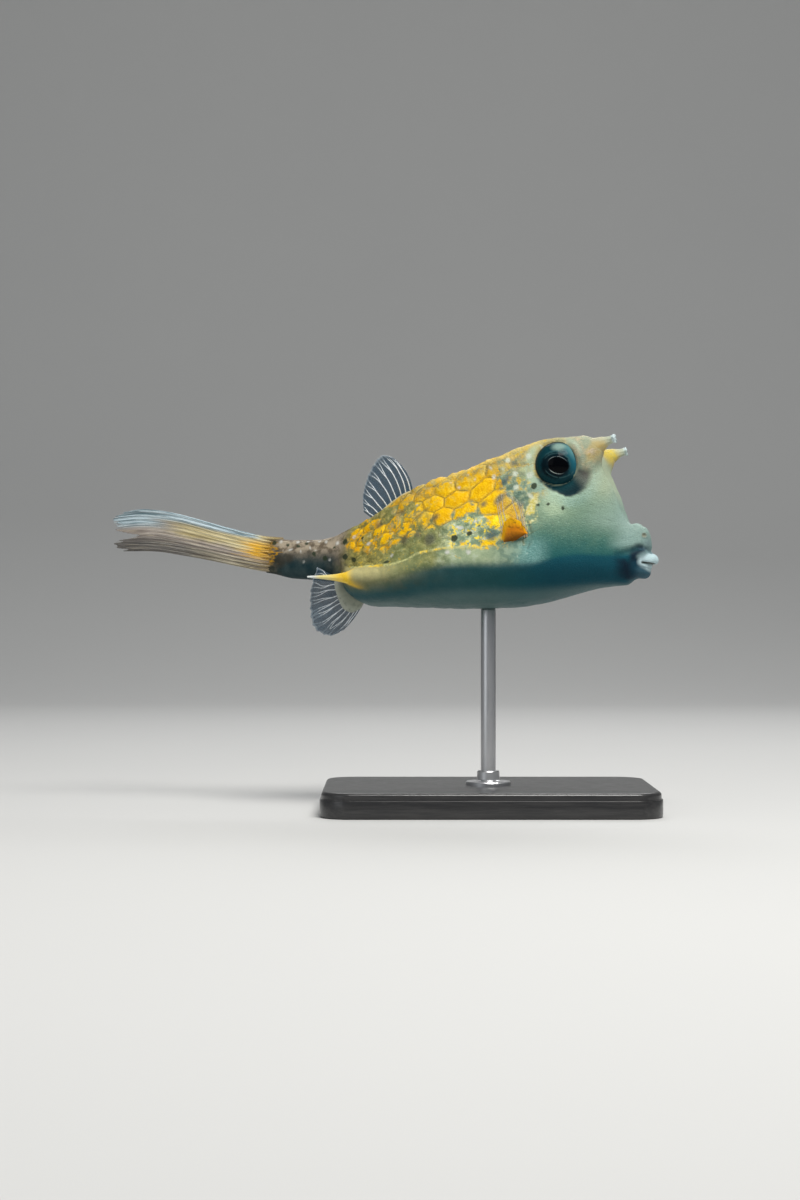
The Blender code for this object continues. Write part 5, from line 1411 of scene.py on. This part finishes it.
# The tail fin: rays folded like a brush, split into two lobes near its end.
CAUDAL_TOP = ((-1.9, 4.2), (-12.0, 6.4), (-22.8, 9.1), (-42.5, 14.4), (-55.6, 16.4), (-63.0, 15.4))
CAUDAL_BOTTOM = ((-1.9, -10.2), (-14.0, -7.9), (-28.2, -4.9), (-40.0, -2.8), (-49.0, -1.2), (-60.0, -1.0))
CAUDAL_ENDS = (-65.5, -70.0, -70.8, -69.8, -68.0, -59.6, -68.4, -69.0, -65.5)
CAUDAL_RAYS = 11


def caudal_surface(t, s, h):
    t, s, h = np.broadcast_arrays(np.asarray(t, float), np.asarray(s, float), np.asarray(h, float))
    tt, ss, hh = np.clip(t.ravel(), 0, 1), s.ravel(), h.ravel()
    top, bottom = curve_points(CAUDAL_TOP, ss), curve_points(CAUDAL_BOTTOM, ss)
    p = top + (bottom - top) * tt[:, None]
    reach = curve_points(CAUDAL_ENDS, tt)[:, 0]
    last = CAUDAL_TOP[-1][0] + (CAUDAL_BOTTOM[-1][0] - CAUDAL_TOP[-1][0]) * tt
    px = p[:, 0] + (reach - last) * np.maximum(0, (ss - 0.55) / 0.45) ** 1.5 + 5.4 * np.maximum(0, 1 - ss / 0.05)
    sway = 0.9 * np.sin(2.2 * math.pi * tt) * ss
    return np.stack([px, sway + hh, p[:, 1]], 1).reshape(*t.shape, 3)


def tail_tones(kit, fish, t, s):
    """Streaked tones of the tail fin: yellow at the root, cream above, rosy grey below, darker grey over the lower
    lobe's outer half as painted shade, and blue-white along the top, partly a painted highlight.
    """
    streak = kit.noise(kit.join(s * 3.0, t * 34.0, 0.0), 1.0, 4.0, 0.6)
    hair = kit.noise(kit.join(s * 5.0, t * 90.0, 2.0), 1.0, 3.0, 0.6)
    cloud = kit.noise(fish, 0.12, 3.0)
    rosy = kit.mix(streak.ease(0.34, 0.64), (0.190, 0.155, 0.130), (0.375, 0.325, 0.285))
    cream = kit.mix(streak.ease(0.32, 0.62), (0.280, 0.215, 0.085), (0.66, 0.58, 0.34))
    colour = kit.mix((t + (cloud - 0.5) * 0.3 + (streak - 0.5) * 0.2).ease(0.62, 0.42) * s.ease(0.74, 0.52), rosy, cream)
    # painted shade: the lower lobe greys and darkens towards its end
    lower = kit.mix(s.ease(0.34, 0.62), kit.mix(streak.ease(0.4, 0.62), (0.150, 0.125, 0.085), (0.46, 0.42, 0.30)), kit.mix(streak.ease(0.4, 0.62), (0.050, 0.050, 0.048), (0.150, 0.145, 0.135)))
    colour = kit.mix((t + s * 0.12 + (streak - 0.5) * 0.2).ease(0.66, 0.90) * 0.80, colour, lower)
    # blue-white along the top: the fin's pale edge, brightened in part as a painted highlight
    blue = kit.mix(streak.ease(0.38, 0.62), (0.110, 0.180, 0.210), (0.60, 0.73, 0.79))
    top = (t - s * 0.12 + (streak - 0.5) * 0.10).ease(0.17, 0.07).high((t + (streak - 0.5) * 0.14).ease(0.50, 0.30) * s.ease(0.62, 0.80))
    colour = kit.mix(top * s.ease(0.04, 0.16), colour, blue)
    root = (1.0 - ((t - 0.44 + (streak - 0.5) * 0.20) / 0.36).abs().ease(0.25, 1.0)) * (s + (streak - 0.5) * 0.45).ease(0.26, 0.12)
    colour = kit.mix(root, colour, kit.mix(hair.ease(0.36, 0.6), (0.50, 0.230, 0.001), (0.86, 0.47, 0.006)))
    colour = kit.mix((s + (hair - 0.5) * 0.10 + (streak - 0.5) * 0.12).ease(0.09, 0.01) * 0.75, colour, kit.mix(hair, (0.115, 0.085, 0.045), (0.26, 0.165, 0.055)))
    colour = kit.mix(hair.ease(0.42, 0.30) * 0.36, colour, (0.095, 0.075, 0.045))
    colour = kit.mix(hair.ease(0.58, 0.68) * 0.55, colour, kit.mix(top, (0.70, 0.62, 0.44), (0.72, 0.80, 0.84)))
    return colour, streak, hair


def caudal_web_material():
    kit = Kit("tail_fin_web")
    fish = kit.field("fish")
    t, s, near = kit.split(kit.field("veil"))
    colour, streak, hair = tail_tones(kit, fish, t, s)
    alpha = 0.98 - s.ease(0.60, 1.0) * 0.26 + near.ease(0.4, 0.0) * 0.1 + (streak - 0.5) * 0.2
    normal = kit.bump(hair + near.ease(0.5, 0.0) * 0.5, 0.5, 0.0005)
    return kit.finish(colour, 0.40 + 0.2 * hair, normal, alpha.clamp(), Coat_Weight=0.10, Coat_Roughness=0.25, Specular_IOR_Level=0.3)


def caudal_ray_material():
    kit = Kit("tail_fin_ray")
    fish = kit.field("fish")
    t, s, _ = kit.split(kit.field("veil"))
    colour, streak, hair = tail_tones(kit, fish, t, s)
    colour = kit.mix(0.10 + 0.30 * streak.ease(0.4, 0.7), colour, kit.mix(s.ease(0.10, 0.35), (0.80, 0.60, 0.14), (0.60, 0.57, 0.50)))
    joints = (s * 260.0).sin().ease(0.3, 1.0)
    normal = kit.bump(joints * -0.4 + hair * 0.5, 0.4, 0.0002)
    return kit.finish(colour, 0.42 + 0.15 * hair, normal, Coat_Weight=0.05, Coat_Roughness=0.3, Specular_IOR_Level=0.3)


def plumpness(t, s):
    """How the blade's half thickness swells over the rays' roots, and sinks again inside the tail root."""
    body = 2.3 * np.maximum(0, 1 - s) ** 1.2 * (0.35 + 0.65 * np.sin(math.pi * np.clip(t, 0.0, 1)) ** 0.5)
    ragged = 0.006 * np.sin(t * 46.0) + 0.005 * np.sin(t * 83.0 + 1.0)
    return body * (0.12 + 0.88 * ease(0.004, 0.050, s + ragged))


def caudal_side(sign):
    """One face of the blade, so that rays lie on both of its sides."""

    def surface(t, s, h):
        plump = plumpness(np.asarray(t, float), np.asarray(s, float))
        return caudal_surface(t, s, np.asarray(h, float) + sign * plump * ease(0.9, 0.6, np.asarray(s, float)))

    return surface


tail_web, tail_ray = caudal_web_material(), caudal_ray_material()


def caudal_blade():
    """Closed blade with a shallow pleat at each ray."""
    rays, columns, steps = CAUDAL_RAYS, 14, 90
    n = columns * rays + 1
    t, s = np.linspace(0, 1, n), np.linspace(0, 1, steps)
    T, S = np.meshgrid(t, s, indexing="ij")
    dip = 0.03 * (0.5 - 0.5 * np.cos(2 * math.pi * rays * T)) + 0.03 * value_noise(np.stack([T * 37, 0 * T, 0 * T], -1).reshape(-1, 3), 1.0, 21).reshape(T.shape)
    S_cut = S * (1 - np.clip(dip, 0, 0.06))
    plump = plumpness(T, S)
    pleat = 0.07 * np.cos(2 * math.pi * rays * T) * ease(0.05, 0.4, S) * ease(1.15, 0.7, S)
    ridges = 0.05 * value_noise(np.stack([T * 70.0, S * 2.0, 0 * T], -1).reshape(-1, 3), 1.0, 25).reshape(T.shape)
    h = 0.18 + plump * ease(0.9, 0.6, S) + ridges
    top, bottom = caudal_surface(T, S_cut, pleat + h), caudal_surface(T, S_cut, pleat - h)
    pts = np.concatenate([top.reshape(-1, 3), bottom.reshape(-1, 3)])
    at = lambda i, j, k: k * n * steps + i * steps + j
    i, j = np.meshgrid(np.arange(n - 1), np.arange(steps - 1), indexing="ij")
    i, j = i.ravel(), j.ravel()
    faces = list(np.stack([at(i, j, 0), at(i + 1, j, 0), at(i + 1, j + 1, 0), at(i, j + 1, 0)], 1))
    faces += list(np.stack([at(i, j, 1), at(i, j + 1, 1), at(i + 1, j + 1, 1), at(i + 1, j, 1)], 1))
    border = [(i, 0) for i in range(n)] + [(n - 1, j) for j in range(1, steps)] + [(i, steps - 1) for i in range(n - 2, -1, -1)] + [(0, j) for j in range(steps - 2, 0, -1)]
    for p, q in zip(border, border[1:] + border[:1]):
        faces.append(np.array([at(*p, 1), at(*q, 1), at(*q, 0), at(*p, 0)]))
    near = np.abs((T * rays) % 1.0 - 0.5) * 1.2
    veil = np.stack([T, S, near], -1).reshape(-1, 3)
    make_piece("tail_fin_blade", pts, faces, tail_web, {"veil": np.concatenate([veil, veil])}, replaces=("caudal_fin",))


caudal_blade()


def caudal_rays():
    """Branching rays raised on both faces of the blade."""
    rays, forks, radii = CAUDAL_RAYS, (0.28, 0.58), (0.18, 0.16, 0.12, 0.06)
    middles = (np.arange(rays) + 0.5) / rays
    half_pitch = 0.5 / rays
    stops = [0.02, *forks, 1.0]
    sides = 7
    ang = np.linspace(0, 2 * math.pi, sides, endpoint=False)
    all_pts, all_faces, all_veil, count = [], [], [], 0
    for sign in (-1, 1):
        surface = caudal_side(sign)
        done = set()
        for m_i, m in enumerate(middles):
            for c in [(i, j) for i in (-1, 1) for j in (-1, 1)]:
                for level in range(3):
                    key = (m_i, c[:level])
                    if key in done:
                        continue
                    done.add(key)
                    lo, hi = stops[level], stops[level + 1]
                    sv = np.linspace(max(0.01, lo - 0.01), min(1.0, hi + 0.01), max(6, int((hi - lo) * 80)))
                    off = np.zeros_like(sv)
                    for k, (fork, sg) in enumerate(zip(forks, list(c[:level]) + [0] * (2 - level))):
                        off = off + sg * half_pitch * (0.5 / 2**k) * np.maximum(0, (sv - fork) / (1 - fork)) ** 0.9 * 1.05
                    tv = m + off + 0.012 * np.sin(3.4 * sv + 2.1 * m_i) * sv
                    end = 1 - 0.02 * (0.5 + 0.5 * math.sin(m_i * 5.1 + 3.0 * sum(c)))
                    sc = sv * end
                    pleat = 0.07 * np.cos(2 * math.pi * rays * tv) * ease(0.05, 0.4, sc) * ease(1.15, 0.7, sc)
                    c0 = surface(tv, sc, pleat + sign * 0.10)
                    d = np.gradient(c0, axis=0)
                    d /= np.maximum(np.linalg.norm(d, axis=1, keepdims=True), 1e-9)
                    up = np.broadcast_to(np.array((0.0, 1.0, 0.0)), d.shape)
                    sidev = np.cross(d, up)
                    sidev /= np.maximum(np.linalg.norm(sidev, axis=1, keepdims=True), 1e-9)
                    up = np.cross(sidev, d)
                    f = np.clip((sv - lo) / (hi - lo), 0, 1)
                    rad = (radii[level] + (radii[level + 1] - radii[level]) * f) * (1 + 0.06 * np.sin(sv * 260.0))
                    ring = c0[:, None] + rad[:, None, None] * (sidev[:, None] * np.cos(ang)[None, :, None] + up[:, None] * np.sin(ang)[None, :, None])
                    k = len(sv)
                    all_pts += [ring.reshape(-1, 3), c0[[0, -1]] + d[[0, -1]] * np.array([[-0.05], [0.15]])]
                    all_faces += loop_faces(k, sides, count, count + k * sides, count + k * sides + 1)
                    v = np.stack([np.repeat(tv, sides), np.repeat(sv, sides), np.zeros(k * sides)], 1)
                    all_veil += [v, [[tv[0], sv[0], 0], [tv[-1], sv[-1], 0]]]
                    count += k * sides + 2
    make_piece("tail_fin_rays", np.concatenate(all_pts), all_faces, tail_ray, {"veil": np.concatenate(all_veil)})


caudal_rays()


# ---- display stand ----------------------------------------------------------------------------
base_low, base_high = (np.array(v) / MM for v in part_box("stand_base"))
rod_low, rod_high = (np.array(v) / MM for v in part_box("stand_rod"))


def lacquer_material():
    kit = Kit("stand_lacquer")
    where = kit.field("fish")
    grain = kit.noise(kit.stretch(where, (0.06, 1.0, 1.0)), 0.9, 5.0, 0.65, 0.4)
    pores = kit.noise(kit.stretch(where, (0.10, 1.6, 1.6)), 3.0, 3.0, 0.6)
    dust = kit.noise(where, 0.25, 3.0)
    colour = kit.mix(grain.ease(0.35, 0.7), (0.012, 0.012, 0.013), (0.030, 0.029, 0.029))
    colour = kit.mix(pores.ease(0.62, 0.75) * 0.5, colour, (0.055, 0.052, 0.050))
    normal = kit.bump(grain * 0.6 + pores * 0.4, 0.18, 0.0003)
    return kit.finish(colour, 0.27 + 0.14 * dust, normal, Coat_Weight=0.35, Coat_Roughness=0.12)


def steel_material():
    kit = Kit("stand_brushed_steel")
    where = kit.field("fish")
    brush = kit.noise(kit.stretch(where, (3.0, 3.0, 0.05)), 2.5, 4.0, 0.65)
    cloud = kit.noise(where, 0.3, 3.0)
    colour = kit.mix(brush, (0.52, 0.52, 0.53), (0.68, 0.68, 0.69))
    normal = kit.bump(brush, 0.15, 0.0002)
    return kit.finish(colour, 0.22 + 0.14 * brush + 0.06 * cloud, normal, Metallic=1.0)


def turned(name, profile, centre, around, mat, replaces=()):
    """A turned piece on a vertical axis from (radius, z) pairs."""
    a = np.linspace(0, 2 * math.pi, around, endpoint=False)
    prof = np.array(profile, float)
    G = np.stack([
        centre[0] + prof[:, 0, None] * np.cos(a), centre[1] + prof[:, 0, None] * np.sin(a), prof[:, 1, None] * np.ones(around),
    ], -1)
    pts = np.concatenate([G.reshape(-1, 3), [[*centre, prof[0, 1]], [*centre, prof[-1, 1]]]])
    faces = loop_faces(len(prof), around, 0, len(pts) - 2, len(pts) - 1)
    return make_piece(name, pts, faces, mat, replaces=replaces, world=True)


def stand_base_piece():
    corner, top, bottom = 12.0, base_high[2], base_low[2]
    hx, hy = (base_high[0] - base_low[0]) / 2, (base_high[1] - base_low[1]) / 2
    cx, cy = (base_high[0] + base_low[0]) / 2, (base_high[1] + base_low[1]) / 2
    profile = [(0.9, bottom), (0.4, bottom + 0.15), (0.1, bottom + 0.45), (0.0, bottom + 0.9)]
    profile += [(0.0, top - 3.4), (0.12, top - 3.1), (0.55, top - 2.9), (0.6, top - 2.5)]  # a fine bead under the top edge
    profile += [(0.6 + 1.5 * (1 - math.cos(k)), top - 1.5 + 1.5 * math.sin(k)) for k in np.linspace(0, math.pi / 2, 9)]
    rows = []
    for inset, z0 in profile:
        ring = []
        for sx, sy, start in ((1, 1, 0), (-1, 1, 90), (-1, -1, 180), (1, -1, 270)):
            for k in range(19):
                q = math.radians(start + 90 * k / 18)
                ring.append((cx + sx * (hx - corner) + (corner - inset) * math.cos(q), cy + sy * (hy - corner) + (corner - inset) * math.sin(q), z0))
        rows.append(ring)
    G = np.array(rows)
    around = G.shape[1]
    pts = np.concatenate([G.reshape(-1, 3), [[cx, cy, bottom], [cx, cy, top]]])
    faces = loop_faces(len(rows), around, 0, len(pts) - 2, len(pts) - 1)
    piece = make_piece("stand_plinth", pts, faces, lacquer_material(), replaces=("stand_base",), world=True)
    piece.data.set_sharp_from_angle(angle=math.radians(35))


stand_base_piece()
steel = steel_material()
rod_x, rod_y = (rod_low[0] + rod_high[0]) / 2, (rod_low[1] + rod_high[1]) / 2
rod_r = (rod_high[0] - rod_low[0]) / 2
foot = base_high[2]
rod = turned(
    "stand_post",
    [(rod_r, foot), (rod_r, rod_high[2] - 0.7), (rod_r - 0.2, rod_high[2] - 0.25), (rod_r - 0.7, rod_high[2])],
    (rod_x, rod_y), 64, steel, replaces=("stand_rod",),
)
rod.data.set_sharp_from_angle(angle=math.radians(40))
collar = turned(
    "stand_collar",
    [(9.0, foot), (9.0, foot + 1.0), (8.7, foot + 1.4), (5.2, foot + 1.7), (4.6, foot + 2.1), (4.4, foot + 5.2), (4.1, foot + 5.6), (rod_r + 0.05, foot + 5.7)],
    (rod_x, rod_y), 72, steel,
)
collar.data.set_sharp_from_angle(angle=math.radians(28))

# ---- stage, light and camera ----------------------------------------------------------------------
def sweep():
    """Pale floor that curves up into a backdrop."""
    profile = [(-4.0, 0.0), (0.9, 0.0)]
    profile += [(0.9 + 0.8 * math.sin(k), 0.8 * (1 - math.cos(k))) for k in np.linspace(0.05, math.pi / 2, 24)]
    profile += [(1.7, 4.0)]
    mesh = bpy.data.meshes.new("studio_sweep")
    verts = [(sx * 5.0, py, pz) for py, pz in profile for sx in (-1, 1)]
    faces = [(2 * i, 2 * i + 1, 2 * i + 3, 2 * i + 2) for i in range(len(profile) - 1)]
    mesh.from_pydata(verts, [], faces)
    mesh.shade_smooth()
    obj = bpy.data.objects.new("studio_sweep", mesh)
    scene.collection.objects.link(obj)
    kit = Kit("studio_paper")
    where = kit.nodes.new("ShaderNodeTexCoord")
    paper = kit.noise(Wire(kit, where.outputs["Object"]), 3.0, 3.0)
    mesh.materials.append(kit.finish(kit.mix(paper, (0.57, 0.57, 0.565), (0.60, 0.60, 0.59)), 0.85))


sweep()
world = bpy.data.worlds.new("studio_air")
world.use_nodes = True
world.node_tree.nodes["Background"].inputs["Color"].default_value = (0.92, 0.96, 1.0, 1.0)
world.node_tree.nodes["Background"].inputs["Strength"].default_value = 0.24
scene.world = world


def softbox(name, at, aim, size, power, colour=(1.0, 1.0, 1.0)):
    light = bpy.data.lights.new(name, "AREA")
    light.shape = "RECTANGLE"
    light.size, light.size_y = size
    light.energy = power
    light.color = colour
    obj = bpy.data.objects.new(name, light)
    scene.collection.objects.link(obj)
    obj.location = at
    obj.rotation_euler = (Vector(aim) - Vector(at)).to_track_quat("-Z", "Y").to_euler()


middle = (0.0, 0.0, 0.11)
softbox("key", (0.22, -0.50, 0.95), middle, (0.6, 0.4), 12.5, (1.0, 0.985, 0.95))
softbox("fill", (-1.0, -0.9, 0.5), middle, (0.8, 0.8), 1.6, (0.93, 0.97, 1.0))
softbox("back", (0.1, 0.7, 0.8), middle, (0.9, 0.4), 4.0)

PIVOT = np.array((68.0, 0.0, 7.0))
eye_point = TURN @ PIVOT + PLACE + np.array((-15.2, -900.0, -28.2))
camera = bpy.data.cameras.new("camera")
camera.sensor_fit, camera.sensor_width, camera.lens = "AUTO", 36.0, 67.5
camera.clip_start, camera.clip_end = 0.05, 20.0
camera_object = bpy.data.objects.new("camera", camera)
scene.collection.objects.link(camera_object)
camera_object.location = eye_point * MM
camera_object.rotation_euler = (math.radians(90), 0.0, 0.0)
scene.camera = camera_object
scene.view_settings.view_transform = "Standard"
